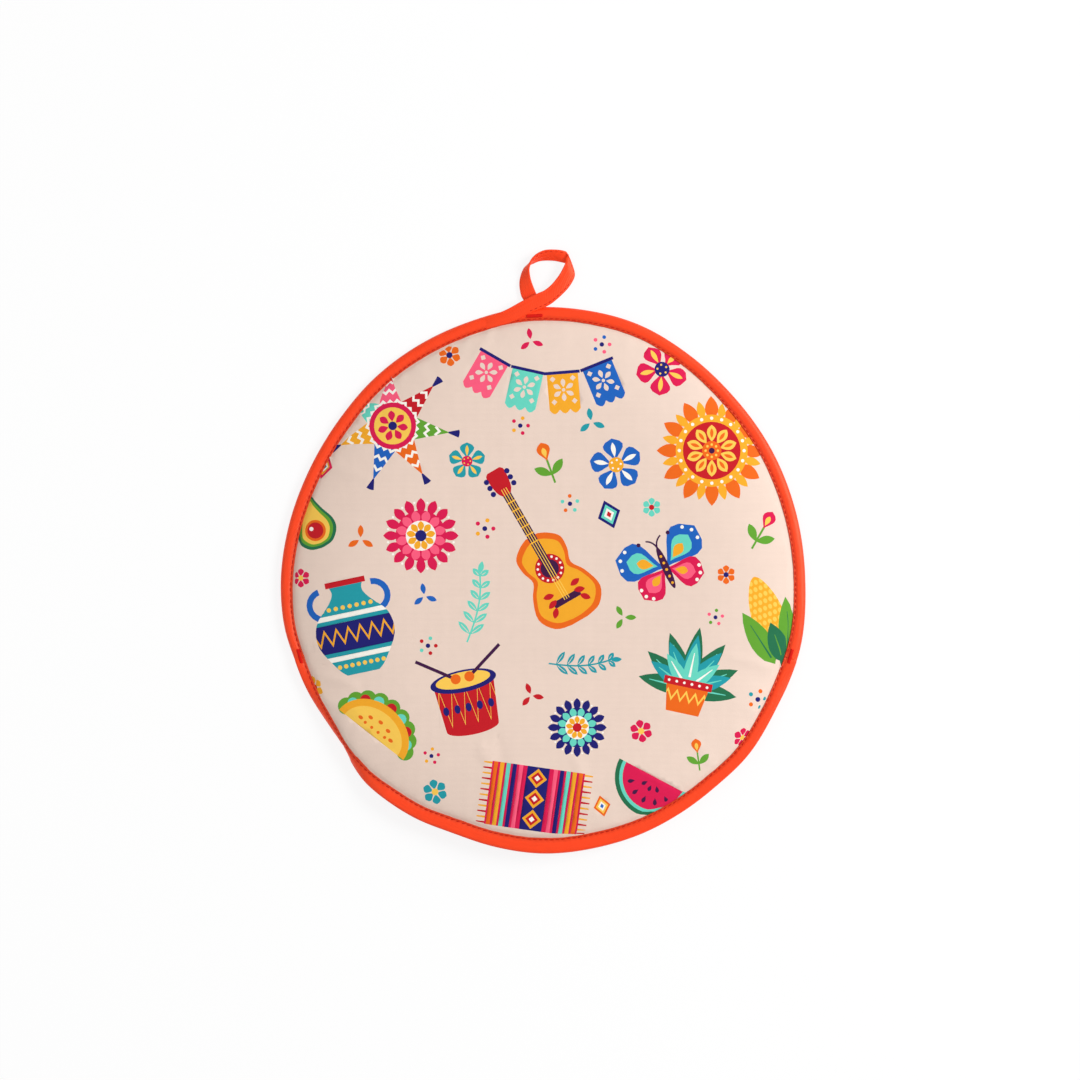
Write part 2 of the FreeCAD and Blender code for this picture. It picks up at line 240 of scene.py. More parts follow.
def settle(points):
    """Rolls the front lip under where it is curled, then opens the mouth a little."""
    points = np.array(points, float)
    radius, degrees = to_polar(points)
    width = tape_width(degrees)
    foot = front_radius(degrees) - width
    out = radius - foot
    turn = np.radians(roll_angle(degrees))
    rolled = (out > 0) & (turn > 0.01) & (points[:, 1] < HINGE_Y + 2)
    middle = (FLAP_UNDER + front_lip(degrees)) / 2
    thin = 1 - ROLL_THINNING * turn / math.pi
    offset = (points[:, 2] - middle) * thin
    lean = ROLL_LEAN * smoothstep(turn / 2)
    tight = width / np.maximum(turn - lean, 0.01)
    heading = lean + np.clip(out, 0, None) / tight
    new_radius = foot + tight * (np.sin(heading) - np.sin(lean)) + offset * np.sin(heading)
    new_height = middle - tight * (np.cos(lean) - np.cos(heading)) + offset * np.cos(heading)
    lift = ROLL_LIFT * smoothstep(turn / math.pi) * smoothstep((out + ROLL_LIFT_RUN) / ROLL_LIFT_RUN)
    scale = np.where(rolled, new_radius / np.maximum(radius, 1e-6), 1)
    points[:, 0] *= scale
    points[:, 1] *= scale
    points[:, 2] = np.where(rolled, new_height, points[:, 2]) + np.where(points[:, 1] < HINGE_Y, lift, 0)
    share = smoothstep((points[:, 1] - HINGE_Y) / (GAPE_STOP - HINGE_Y))
    angle = GAPE * share
    dy = points[:, 1] - HINGE_Y
    dz = points[:, 2] - HINGE_Z
    points[:, 1] = HINGE_Y + dy * np.cos(angle) + dz * np.sin(angle)
    points[:, 2] = HINGE_Z - dy * np.sin(angle) + dz * np.cos(angle)
    return points


# Colours of the print, as written for a screen
CREAM = (238, 214, 199)
RED = (200, 14, 30)
CRIMSON = (222, 12, 78)
PINK = (255, 92, 128)
ORANGE = (240, 104, 14)
MUSTARD = (249, 172, 36)
YELLOW = (255, 205, 84)
LEAF = (98, 164, 46)
FOREST = (30, 112, 74)
AQUA = (104, 216, 194)
TEAL = (28, 156, 168)
BLUE = (22, 98, 190)
NAVY = (22, 20, 112)
PLUM = (62, 12, 66)
WHITE = (255, 250, 240)


class Pen:
    """Fills shapes in millimetres at one place, turn and scale of the cloth."""

    def __init__(self, shapes, x=0.0, y=0.0, turn=0.0, scale=1.0):
        self.shapes = shapes
        self.x = x
        self.y = y
        self.turn = turn
        self.scale = scale

    def at(self, x, y, turn=0.0, scale=1.0):
        """A pen at a place of this pen's own frame."""
        px, py = self.put(x, y)
        return Pen(self.shapes, px, py, self.turn + turn, self.scale * scale)

    def put(self, x, y):
        """A point of the pen's frame on the cloth."""
        c = math.cos(math.radians(self.turn)) * self.scale
        s = math.sin(math.radians(self.turn)) * self.scale
        return self.x + c * x - s * y, self.y + s * x + c * y

    def fill(self, points, colour, within=None):
        """Fill a closed shape, or only where it lies within an earlier one."""
        self.shapes.append(([self.put(x, y) for x, y in points], colour, within))
        return len(self.shapes) - 1


def oval(x, y, wide, tall=None, sides=None):
    """Points round an oval with these half widths."""
    tall = wide if tall is None else tall
    sides = sides or max(10, int(8 + 2.4 * max(wide, tall)))
    turns = [2 * math.pi * k / sides for k in range(sides)]
    return [(x + wide * math.cos(a), y + tall * math.sin(a)) for a in turns]


def petal(length, width, blunt=1.0, base=0.0, steps=7):
    """A petal along +Y from its base: pointed at blunt 1, rounder above it."""
    side = []
    for k in range(1, steps):
        t = k / steps
        side.append((width / 2 * math.sin(math.pi * t ** blunt) ** 0.8, base + length * t))
    tip = [(0, base + length)]
    return [(0, base)] + side + tip + [(-x, y) for x, y in reversed(side)]


def profile(rows):
    """A shape that is the same on both sides, from rows of (height, half width)."""
    right = []
    for k in range(len(rows) - 1):
        (h0, w0), (h1, w1) = rows[max(k - 1, 0)], rows[k]
        (h2, w2), (h3, w3) = rows[k + 1], rows[min(k + 2, len(rows) - 1)]
        for step in range(4):
            t = step / 4
            blend = ((-t + 2 * t * t - t ** 3) / 2, (2 - 5 * t * t + 3 * t ** 3) / 2,
                     (t + 4 * t * t - 3 * t ** 3) / 2, (t ** 3 - t * t) / 2)
            height = sum(b * h for b, h in zip(blend, (h0, h1, h2, h3)))
            width = sum(b * w for b, w in zip(blend, (w0, w1, w2, w3)))
            right.append((max(width, 0.05), height))
    right.append((max(rows[-1][1], 0.05), rows[-1][0]))
    return right + [(-x, y) for x, y in reversed(right)]


def bar(x0, y0, x1, y1, width, end_width=None):
    """A straight bar between two points."""
    end_width = width if end_width is None else end_width
    run = math.hypot(x1 - x0, y1 - y0)
    nx, ny = (y0 - y1) / run / 2, (x1 - x0) / run / 2
    return [(x0 + nx * width, y0 + ny * width), (x0 - nx * width, y0 - ny * width),
            (x1 - nx * end_width, y1 - ny * end_width), (x1 + nx * end_width, y1 + ny * end_width)]


def box(x0, y0, x1, y1):
    """An upright rectangle."""
    return [(x0, y0), (x1, y0), (x1, y1), (x0, y1)]


def arch(x, y, radius, width, start, stop, steps=10):
    """A curved band about a centre, from one angle to another."""
    turns = [math.radians(start + (stop - start) * k / steps) for k in range(steps + 1)]
    outer = [(x + (radius + width / 2) * math.cos(a), y + (radius + width / 2) * math.sin(a)) for a in turns]
    inner = [(x + (radius - width / 2) * math.cos(a), y + (radius - width / 2) * math.sin(a)) for a in turns]
    return outer + inner[::-1]


def zigzag(x0, x1, low, high, teeth, thick):
    """A zigzag band across a shape."""
    top = []
    for k in range(2 * teeth + 1):
        x = x0 + (x1 - x0) * k / (2 * teeth)
        top.append((x, high if k % 2 else low))
    return [(x, y + thick) for x, y in top] + [(x, y) for x, y in reversed(top)]


def dots(pen, count, radius, size, colour, phase=0.0, within=None):
    """A ring of dots about the pen."""
    for k in range(count):
        a = math.radians(phase + 360 * k / count)
        spot = oval(radius * math.cos(a), radius * math.sin(a), size, sides=10)
        pen.fill(spot, colour, within)


def petals(pen, count, length, width, colour, base=0.0, blunt=1.0, phase=0.0):
    """A ring of petals about the pen."""
    for k in range(count):
        pen.at(0, 0, phase + 360 * k / count).fill(petal(length, width, blunt, base), colour)


def sun(pen):
    petals(pen, 12, 11, 6.4, ORANGE, 15, 0.8)
    petals(pen, 12, 8, 4, MUSTARD, 16, 0.8, 15)
    pen.fill(oval(0, 0, 17), MUSTARD)
    pen.fill(oval(0, 0, 13.6), RED)
    dots(pen, 20, 15.3, 0.8, WHITE)
    petals(pen, 10, 8, 4.6, YELLOW, 4.2, 1.2)
    petals(pen, 10, 4.6, 1.6, ORANGE, 6, 1.0)
    pen.fill(oval(0, 0, 4.6), ORANGE)
    dots(pen, 8, 2.9, 0.6, YELLOW)
    pen.fill(oval(0, 0, 1.4), PLUM)


def dahlia(pen, outer=CRIMSON, middle=PINK, inner=MUSTARD, heart=NAVY):
    petals(pen, 16, 9, 4.6, outer, 9.5, 1.3)
    pen.fill(oval(0, 0, 12.4), outer)
    petals(pen, 12, 7, 4.4, middle, 5.5, 1.3, 15)
    pen.fill(oval(0, 0, 7.4), WHITE)
    petals(pen, 9, 5, 3.2, inner, 2.2, 1.2)
    pen.fill(oval(0, 0, 2.8), heart)
    dots(pen, 16, 16.4, 0.6, WHITE, 11.25)


def bloom(pen, outer, inner, heart, count=5):
    petals(pen, count, 11, 9.6, outer, 1.5, 1.7)
    petals(pen, count, 7, 2.2, inner, 3.6, 1.2)
    pen.fill(oval(0, 0, 3.6), heart)
    dots(pen, count, 2.2, 0.5, inner)


def frond(pen, colour=TEAL, pairs=6, length=44):
    for k in range(12):
        x0, x1 = 5 * math.sin(k * 0.2), 5 * math.sin((k + 1) * 0.2)
        pen.fill(bar(x0, length * k / 12, x1, length * (k + 1) / 12, 1.1), colour)
    for k in range(pairs):
        t = (k + 0.7) / pairs
        size = 11.5 - 5 * t
        x = 5 * math.sin(12 * t * 0.2)
        for side in (-1, 1):
            blade = pen.at(x, length * t, side * 48)
            blade.fill(petal(size, 3.6, 1.15), colour)
            blade.fill(bar(0, 1.5, 0, size - 2.5, 0.5, 0.3), CREAM)
    pen.at(5 * math.sin(2.4), length - 0.5, -6).fill(petal(8, 3.6), colour)


def agave(pen):
    for layer, (colour, stripe) in enumerate(((FOREST, AQUA), (TEAL, AQUA), (AQUA, WHITE))):
        count = 7 - 2 * layer
        for k in range(count):
            lean = (k / (count - 1) - 0.5) * (176 - 46 * layer)
            length = 27 - 3.5 * layer - abs(lean) * 0.06
            blade = pen.at(0, 0, -lean)
            blade.fill(petal(length, 8 - layer, 0.72), colour)
            blade.fill(bar(0, 5, 0, length * 0.78, 1.1, 0.3), stripe)
    pot = pen.fill([(-9.5, 2), (9.5, 2), (7.2, -11), (-7.2, -11)], ORANGE)
    pen.fill(zigzag(-10, 10, -6.6, -2.6, 5, 1.6), YELLOW, pot)
    pen.fill(box(-10.6, 0.4, 10.6, 3.8), RED)
    dots_row(pen, 6, -8.4, 8.4, 2.1, 0.6, WHITE)


def dots_row(pen, count, x0, x1, y, size, colour, within=None):
    """A straight row of dots."""
    for k in range(count):
        pen.fill(oval(x0 + (x1 - x0) * k / (count - 1), y, size, sides=10), colour, within)


def jug(pen):
    for side in (-1, 1):
        pen.fill(arch(side * 12.5, 12, 7, 3, -80 if side > 0 else 100, 90 if side > 0 else 270), BLUE)
    body = pen.fill(profile([(-24, 8), (-20, 12), (-8, 19), (3, 18), (12, 10), (17, 7.5), (22, 9.6)]), TEAL)
    pen.fill(box(-22, -12, 22, 2), NAVY, body)
    pen.fill(zigzag(-24, 24, -9, -2, 8, 2.2), MUSTARD, body)
    pen.fill(box(-22, 4, 22, 6.4), WHITE, body)
    pen.fill(box(-22, -16.4, 22, -14), WHITE, body)
    dots_row(pen, 9, -14, 14, 9.2, 1.1, YELLOW, body)
    dots_row(pen, 8, -11, 11, -19.4, 1.1, YELLOW, body)
    pen.fill(box(-10, 19.6, 10, 22.4), RED)


def guitar(pen):
    rows = [(-30, 4), (-28, 11), (-21, 15.4), (-12, 13), (-6, 9.4), (0, 11), (6, 11), (10, 7), (12, 3)]
    body = pen.fill(profile(rows), ORANGE)
    inner = [(h * 0.9 - 0.9, max(w - 2, 0.5)) for h, w in rows]
    pen.fill(profile(inner), MUSTARD)
    hole = pen.at(0, -4)
    hole.fill(oval(0, 0, 6.4), RED)
    dots(hole, 14, 5.2, 0.55, WHITE)
    hole.fill(oval(0, 0, 4), PLUM)
    pen.fill(box(-6.4, -20.5, 6.4, -17.6), PLUM, body)
    pen.fill(box(-1.9, -2, 1.9, 34), PLUM)
    for k in range(6):
        pen.fill(box(-1.9, 9 + 4 * k, 1.9, 9.6 + 4 * k), MUSTARD)
    pen.fill(profile([(33, 1.9), (36, 3.6), (43, 4.4), (45, 3)]), RED)
    for k in range(3):
        for side in (-1, 1):
            pen.fill(oval(side * 5.1, 36 + 3 * k, 1.2, sides=10), NAVY)
    for x in (-1.1, 0, 1.1):
        pen.fill(bar(x, -19, x, 36, 0.35), YELLOW)
    for side in (-1, 1):
        for k in range(3):
            pen.at(side * 9, -24 + 5 * k, side * (40 + 30 * k)).fill(petal(5, 2.6), RED)


def butterfly(pen, upper=BLUE, lower=CRIMSON):
    for side in (-1, 1):
        for turn, length, width, colour, pale in ((58, 25, 19, upper, AQUA), (122, 19, 15, lower, PINK)):
            wing = pen.at(0, 0, -side * turn)
            wing.fill(petal(length, width, 1.7), colour)
            wing.fill(petal(length * 0.62, width * 0.55, 1.6, length * 0.16), pale)
            wing.fill(petal(length * 0.34, width * 0.26, 1.4, length * 0.24), MUSTARD)
            for k in (-1, 0, 1):
                wing.fill(oval(k * width * 0.24, length * (0.9 - 0.06 * abs(k)), 0.9, sides=10), WHITE)
        pen.fill(arch(side * 6, 10, 6, 0.8, 90 + side * 90, 90 + side * 20, 6), PLUM)
        pen.fill(oval(side * 7.8, 15.4, 1, sides=10), PLUM)
    pen.fill(oval(0, 0, 1.9, 11), PLUM)
    dots_row(pen.at(0, 0, 90), 5, -8, 6, 0, 0.7, MUSTARD)


def corn(pen):
    cob = pen.fill(profile([(-22, 5), (-16, 8.6), (-4, 9.4), (10, 7.6), (20, 3.6), (23, 0.5)]), MUSTARD)
    for row in range(11):
        for column in range(-3, 4):
            x = column * 2.9 + (1.45 if row % 2 else 0)
            pen.fill(oval(x, -17 + 3.7 * row, 1.1, 1.4, 8), YELLOW, cob)
    for side in (-1, 1):
        husk = pen.at(side * 5, -25, side * -13)
        husk.fill(petal(33, 12, 0.8), LEAF)
        husk.fill(bar(0, 4, 0, 25, 1, 0.3), FOREST)
    husk = pen.at(0, -26)
    husk.fill(petal(23, 11, 0.8), FOREST)
    husk.fill(bar(0, 4, 0, 16, 0.9, 0.3), LEAF)
    pen.fill(bar(0, -31, 0, -24, 3), FOREST)


def avocado(pen):
    rows = [(-16, 1), (-14.5, 7), (-9, 11.6), (-3, 12), (4, 8.8), (11, 6), (16, 3.6), (18, 1)]
    pen.fill(profile(rows), FOREST)
    pen.fill(profile([(h * 0.9, w * 0.86) for h, w in rows]), LEAF)
    pen.fill(profile([(h * 0.8 - 0.4, w * 0.7) for h, w in rows]), YELLOW)
    pen.fill(oval(0, -5.6, 6), ORANGE)
    pen.fill(oval(0, -5.6, 4.6), RED)
    pen.fill(oval(-1.7, -3.9, 1.2, sides=10), WHITE)


def melon(pen):
    half = [(math.cos(math.radians(k * 7.5)), -math.sin(math.radians(k * 7.5))) for k in range(25)]
    for radius, colour in ((19, FOREST), (17, AQUA), (15.4, CRIMSON)):
        pen.fill([(radius * x, radius * y) for x, y in half], colour)
    for k in range(5):
        pen.at(0, 0, 126 + 27 * k).fill(petal(3.6, 1.9, 1.5, 9.6), PLUM)
    for k in range(3):
        pen.at(0, 0, 144 + 36 * k).fill(petal(3.2, 1.8, 1.5, 4), PLUM)


def taco(pen):
    dome = [(math.cos(math.radians(k * 7.5)), math.sin(math.radians(k * 7.5))) for k in range(25)]
    for k in range(9):
        a = math.radians(8 + 20.5 * k)
        pen.fill(oval(18.5 * math.cos(a), 1.5 + 15 * math.sin(a), 4.2), LEAF)
    for k in range(7):
        a = math.radians(22 + 22.6 * k)
        pen.fill(oval(18 * math.cos(a), 1 + 15 * math.sin(a), 2.7), RED if k % 2 else AQUA)
    shell = pen.fill([(20 * x, 16 * y) for x, y in dome], MUSTARD)
    pen.fill([(16.5 * x, 12.4 * y) for x, y in dome], YELLOW)
    for k in range(5):
        a = math.radians(28 + 31 * k)
        pen.fill(oval(10.5 * math.cos(a), 7.6 * math.sin(a), 1.3, 0.9, 10), ORANGE, shell)
    dots_row(pen, 4, -6, 6, 3, 0.8, ORANGE)


def drum(pen):
    side = pen.fill([(-15, 9), (-13, -14), (13, -14), (15, 9)], RED)
    pen.fill(oval(0, -14, 13, 3.6), RED)
    pen.fill(zigzag(-16, 16, -12.5, 6, 5, 1.4), YELLOW, side)
    for k in range(5):
        pen.fill(oval(-11.2 + 5.6 * k, -4, 1.5, 2.2, 10), NAVY, side)
    pen.fill(arch(0, -14, 12.6, 2.6, 188, 352), NAVY, side)
    pen.fill(oval(0, 9, 16.4, 5.4), NAVY)
    pen.fill(oval(0, 9.6, 13.6, 3.9), YELLOW)
    for lean in (-1, 1):
        pen.fill(bar(lean * 4, 11, lean * 21, 23, 1.6), PLUM)
        pen.fill(oval(lean * 3.4, 10.6, 2.5), ORANGE)


def blanket(pen):
    cloth = pen.fill(box(-17, -25, 17, 25), CRIMSON)
    colours = (ORANGE, MUSTARD, AQUA, NAVY, PINK)
    for k, colour in enumerate(colours):
        for side in (-1, 1):
            y = side * (23 - 3.4 * k)
            pen.fill(box(-17, y - 1.1, 17, y + 1.1), colour)
    pen.fill(box(-17, -6, 17, 6), NAVY)
    for k in range(3):
        gem = pen.at(-11 + 11 * k, 0)
        for size, colour in ((5.2, MUSTARD), (3.4, RED), (1.6, WHITE)):
            gem.fill([(size, 0), (0, size), (-size, 0), (0, -size)], colour, cloth)
    for k in range(12):
        x = -16 + 32 * k / 11
        for side in (-1, 1):
            pen.fill(bar(x, side * 25, x, side * 29.5, 1.1, 0.7), MUSTARD if k % 2 else RED)


def bunting(pen, colours=(PINK, AQUA, MUSTARD, BLUE)):
    count = len(colours)
    for k, colour in enumerate(colours):
        x = (k - (count - 1) / 2) * 17.4
        flag = pen.at(x, 0.009 * x * x, x)
        scallops = []
        for step in range(13):
            dip = 2.2 * abs(math.sin(math.pi * step / 4))
            scallops.append((8 - 16 * step / 12, -19 - dip))
        flag.fill([(-8, 0), (8, 0)] + scallops, colour)
        flower = flag.at(0, -9)
        petals(flower, 6, 4.4, 2.4, CREAM, 1.4, 1.3)
        flower.fill(oval(0, 0, 0.9, sides=10), CREAM)
        for corner in (-1, 1):
            for drop in (-3.2, -15):
                gem = flag.at(corner * 5.2, drop)
                gem.fill([(1.5, 0), (0, 1.5), (-1.5, 0), (0, -1.5)], CREAM)
        flag.fill(box(-9, -0.8, 9, 0.8), NAVY)


def star(pen):
    for k in range(7):
        ray = pen.at(0, 0, 360 * k / 7)
        cone = ray.fill([(-6.4, 6), (6.4, 6), (0, 26)], (PINK, AQUA, MUSTARD, BLUE, ORANGE, LEAF, RED)[k])
        for low in (9, 14, 19):
            ray.fill(zigzag(-8, 8, low, low + 1.6, 5, 1.5), WHITE, cone)
        for lean in (-14, 0, 14):
            ray.at(0, 25.5, lean).fill(bar(0, 0, 0, 5, 0.7, 1.2), NAVY)
    pen.fill(oval(0, 0, 10.6), CRIMSON)
    pen.fill(oval(0, 0, 8.4), YELLOW)
    petals(pen, 7, 5, 3.2, CRIMSON, 2, 1.3)
    pen.fill(oval(0, 0, 2), NAVY)


def diamond(pen, colours=(NAVY, AQUA, WHITE, RED)):
    for size, colour in zip((7.6, 5.4, 3.4, 1.7), colours):
        pen.fill([(size * 0.8, 0), (0, size), (-size * 0.8, 0), (0, -size)], colour)


def sprout(pen, colour=LEAF, bud=CRIMSON):
    pen.fill(bar(0, -9, 0, 4, 1), colour)
    for side in (-1, 1):
        pen.at(0, -5, side * 52).fill(petal(9, 4, 1.1), colour)
    pen.at(0, 2).fill(petal(9, 6.4, 1.5), bud)
    pen.at(0, 3.4).fill(petal(5, 2.4, 1.4), YELLOW)


def posy(pen, colour=ORANGE, heart=NAVY):
    petals(pen, 6, 4.6, 3.6, colour, 0.8, 1.6)
    pen.fill(oval(0, 0, 1.5, sides=12), heart)


def trio(pen, colour=TEAL):
    for k in range(3):
        pen.at(0, 0, 120 * k).fill(petal(6.4, 3, 1.1, 1), colour)


def crumbs(pen, first=CRIMSON, second=MUSTARD):
    for k in range(5):
        a = math.radians(72 * k)
        pen.fill(oval(4.4 * math.cos(a), 4.4 * math.sin(a), 1.1, sides=10), second if k % 2 else first)
    pen.fill(oval(0, 0, 1.3, sides=10), NAVY)


# Where each motif lies on the cloth: motif, x, y, turn, scale, and its colours if it takes any
PLACES = [
    (star, -86, 88, 6, 1.25, {}),
    (guitar, 0, 12, 30, 1.3, {}),
    (sun, 94, 74, 0, 1.2, {}),
    (jug, -108, -24, 12, 1.15, {}),
    (agave, 80, -60, -12, 1.3, {}),
    (bunting, 0, 118, -4, 1.1, {}),
    (corn, 126, -20, 20, 1.05, {}),
    (blanket, -6, -122, 82, 1.05, {}),
    (butterfly, 68, 8, 24, 1.15, {}),
    (drum, -44, -66, 12, 1.15, {}),
    (melon, 62, -110, -28, 1.2, {}),
    (taco, -98, -86, -38, 1.15, {}),
    (avocado, -132, 34, 24, 1.0, {}),
    (dahlia, -70, 26, 0, 1.15, {}),
    (bloom, 40, 66, 10, 1.2, {"outer": BLUE, "inner": WHITE, "heart": MUSTARD}),
    (dahlia, 18, -82, 0, 0.9, {"outer": NAVY, "middle": AQUA, "inner": MUSTARD, "heart": RED}),
    (bloom, 66, 120, 30, 1.2, {"outer": CRIMSON, "inner": YELLOW, "heart": NAVY}),
    (frond, -44, -34, -6, 0.9, {"colour": AQUA}),
    (frond, 2, -46, -82, 0.8, {"colour": TEAL}),
    (sprout, 122, 28, -30, 1.2, {}),
    (sprout, 2, 66, 20, 1.2, {"bud": ORANGE}),
    (posy, 112, -88, 0, 1.1, {"colour": CRIMSON, "heart": YELLOW}),
    (diamond, 36, 38, 20, 1.1, {}),
    (diamond, -126, 66, -16, 1.0, {"colours": (CRIMSON, MUSTARD, WHITE, TEAL)}),
    (diamond, 32, -126, 12, 0.8, {"colours": (ORANGE, YELLOW, WHITE, BLUE)}),
    (posy, -54, 128, 10, 1.2, {"colour": ORANGE, "heart": NAVY}),
    (posy, 54, -84, 10, 1.2, {"colour": CRIMSON, "heart": YELLOW}),
    (posy, -62, -118, 10, 1.3, {"colour": TEAL, "heart": YELLOW}),
    (posy, -132, -60, 10, 1.2, {"colour": MUSTARD, "heart": RED}),
    (posy, 60, 42, 0, 1.0, {"colour": AQUA, "heart": RED}),
    (trio, 26, 90, 10, 1.1, {"colour": TEAL}),
    (trio, -8, 136, 10, 1.0, {"colour": CRIMSON}),
    (trio, -68, -8, 10, 1.0, {"colour": BLUE}),
    (trio, 44, -20, 30, 1.0, {"colour": LEAF}),
    (crumbs, -34, 30, 0, 1.1, {}),
    (crumbs, 120, -66, 0, 1.1, {"first": TEAL, "second": ORANGE}),
    (crumbs, 32, 134, 0, 1.0, {"first": PINK, "second": BLUE}),
    (crumbs, -66, -36, 0, 1.0, {"first": RED, "second": AQUA}),
    (bloom, -44, 68, 0, 0.85, {"outer": TEAL, "inner": YELLOW, "heart": CRIMSON}),
    (trio, -104, 24, 0, 1.1, {"colour": ORANGE}),
    (trio, -8, -64, 20, 1.0, {"colour": RED}),
    (posy, 102, 4, 0, 1.0, {"colour": ORANGE, "heart": NAVY}),
    (crumbs, 14, 44, 20, 1.0, {"first": AQUA, "second": ORANGE}),
    (sprout, 86, -98, 8, 0.9, {"bud": ORANGE}),
    (crumbs, 96, -20, 10, 0.9, {"first": PINK, "second": LEAF}),
    (posy, -138, 2, 0, 1.0, {"colour": CRIMSON, "heart": YELLOW}),
    (crumbs, -64, -98, 10, 0.9, {}),
    (crumbs, -14, 88, 0, 1.0, {}),
]


def lay_print(shapes):
    for motif, x, y, turn, scale, colours in PLACES:
        motif(Pen(shapes, x, y, turn, scale), **colours)


def add_object(name, points, faces, smooth=True):
    """A mesh object from points in millimetres."""
    mesh = bpy.data.meshes.new(name)
    mesh.from_pydata((np.asarray(points, float) * MM).tolist(), [], faces)
    mesh.update()
    if smooth:
        mesh.shade_smooth()
    piece = bpy.data.objects.new(name, mesh)
    bpy.context.scene.collection.objects.link(piece)
    return piece


def discard(piece):
    """Takes away an object and its mesh."""
    mesh = piece.data
    bpy.data.objects.remove(piece)
    bpy.data.meshes.remove(mesh)


def face_outward(piece):
    """Turns the faces of a closed mesh outward."""
    work = bmesh.new()
    work.from_mesh(piece.data)
    bmesh.ops.recalc_face_normals(work, faces=work.faces)
    work.to_mesh(piece.data)
    work.free()


def lattice(rows, columns, closed=False):
    """Four-sided faces over rows of points, with each row closed or open."""
    faces = []
    for row in range(rows - 1):
        for column in range(columns if closed else columns - 1):
            after = (column + 1) % columns
            faces.append((row * columns + column, row * columns + after,
                          (row + 1) * columns + after, (row + 1) * columns + column))
    return faces


def lay_uv(piece, name, values):
    """A UV map from one pair of numbers for each point."""
    layer = piece.data.uv_layers.new(name=name)
    corners = np.zeros(len(piece.data.loops), np.int32)
    piece.data.loops.foreach_get("vertex_index", corners)
    layer.data.foreach_set("uv", np.asarray(values, np.float32)[corners].ravel())


def lay_weave(piece, run, across):
    """A map in metres over rows of points: along the tape, then across it."""
    uv = np.stack([np.repeat(run, len(across)), np.tile(across, len(run))], 1) * MM
    lay_uv(piece, "weave", uv)


def turn_left(points):
    """The same closed shape, with its points in anticlockwise order."""
    area = 0
    for (x0, y0), (x1, y1) in zip(points, points[1:] + points[:1]):
        area += x0 * y1 - x1 * y0
    return points if area > 0 else points[::-1]


def ring_points(radius, turns):
    return np.stack([radius * np.cos(np.radians(turns)), radius * np.sin(np.radians(turns))], 1).tolist()


def rows_of_points(spacing, fine):
    """The height and spacing of each row of a cloth's points, closer together where the flap bends."""
    y = float(-GRID_HALF)
    while y < GRID_HALF:
        step = fine if fine and BEND_STOP - 4 < y < BEND_START + 4 else spacing
        yield y, step
        y += step * math.sqrt(3) / 2


def cut_cloth(reach, spacing, shapes=(), fine=None, edge=CLOTH_INSET):
    """A panel cut out flat: its points, its triangles with the print's shapes cut in, and their colours."""
    turns = np.arange(0, 360, 0.8)
    seam = reach(turns) - tape_width(turns)
    rim = ring_points(reach(turns) - edge, turns)
    loops = [rim] + [turn_left(points) for points, _, _ in shapes]
    verts = []
    faces = []
    for loop in loops:
        faces.append(list(range(len(verts), len(verts) + len(loop))))
        verts.extend(loop)
    for inset in SEAM_RINGS:
        verts.extend(ring_points(seam - inset, turns))
    for row, (y, step) in enumerate(rows_of_points(spacing, fine)):
        line = np.arange(-GRID_HALF, GRID_HALF, step) + 0.5 * step * (row % 2)
        line = np.stack([line, np.full_like(line, y)], 1)
        radius, degrees = to_polar(line)
        inner = reach(degrees) - tape_width(degrees) - SEAM_RINGS[-1] - 0.6 * step
        verts.extend(line[radius < inner].tolist())
    made = delaunay_2d_cdt([Vector(v) for v in verts], [], faces, 0, 0.02, True)
    flat = np.array([(v.x, v.y) for v in made[0]])
    triangles = np.array(made[2])
    middles = flat[triangles].mean(axis=1)
    kept = inside(middles, rim)
    return flat, triangles[kept].tolist(), top_colours(middles[kept], shapes)


def inside(points, outline):
    """Which points lie inside a closed outline."""
    found = np.zeros(len(points), bool)
    for (x0, y0), (x1, y1) in zip(outline, outline[1:] + outline[:1]):
        if y0 != y1:
            edge = x0 + (points[:, 1] - y0) * (x1 - x0) / (y1 - y0)
            found ^= ((y0 > points[:, 1]) != (y1 > points[:, 1])) & (points[:, 0] < edge)
    return found


def top_colours(middles, shapes):
    """The colour of the topmost shape over the middle of each triangle."""
    colours = np.tile(CREAM, (len(middles), 1))
    covered = []
    for outline, colour, within in shapes:
        reach = (middles > np.min(outline, axis=0)) & (middles < np.max(outline, axis=0))
        under = np.flatnonzero(reach.all(axis=1))
        under = under[inside(middles[under], outline)]
        if within is not None:
            under = np.intersect1d(under, covered[within])
        covered.append(under)
        colours[under] = colour
    return colours


def edges_of(triangles):
    pairs = np.array(triangles)[:, [0, 1, 1, 2, 2, 0]].reshape(-1, 2)
    return np.unique(np.sort(pairs, axis=1), axis=0)


def even_out(values, pairs, times):
    """Smooths values over a mesh by passing them along its edges."""
    count = np.bincount(pairs.ravel(), minlength=len(values)).astype(float)[:, None]
    for _ in range(times):
        total = np.zeros_like(values)
        np.add.at(total, pairs[:, 0], values[pairs[:, 1]])
        np.add.at(total, pairs[:, 1], values[pairs[:, 0]])
        values = 0.4 * values + 0.6 * total / np.maximum(count, 1)
    return values


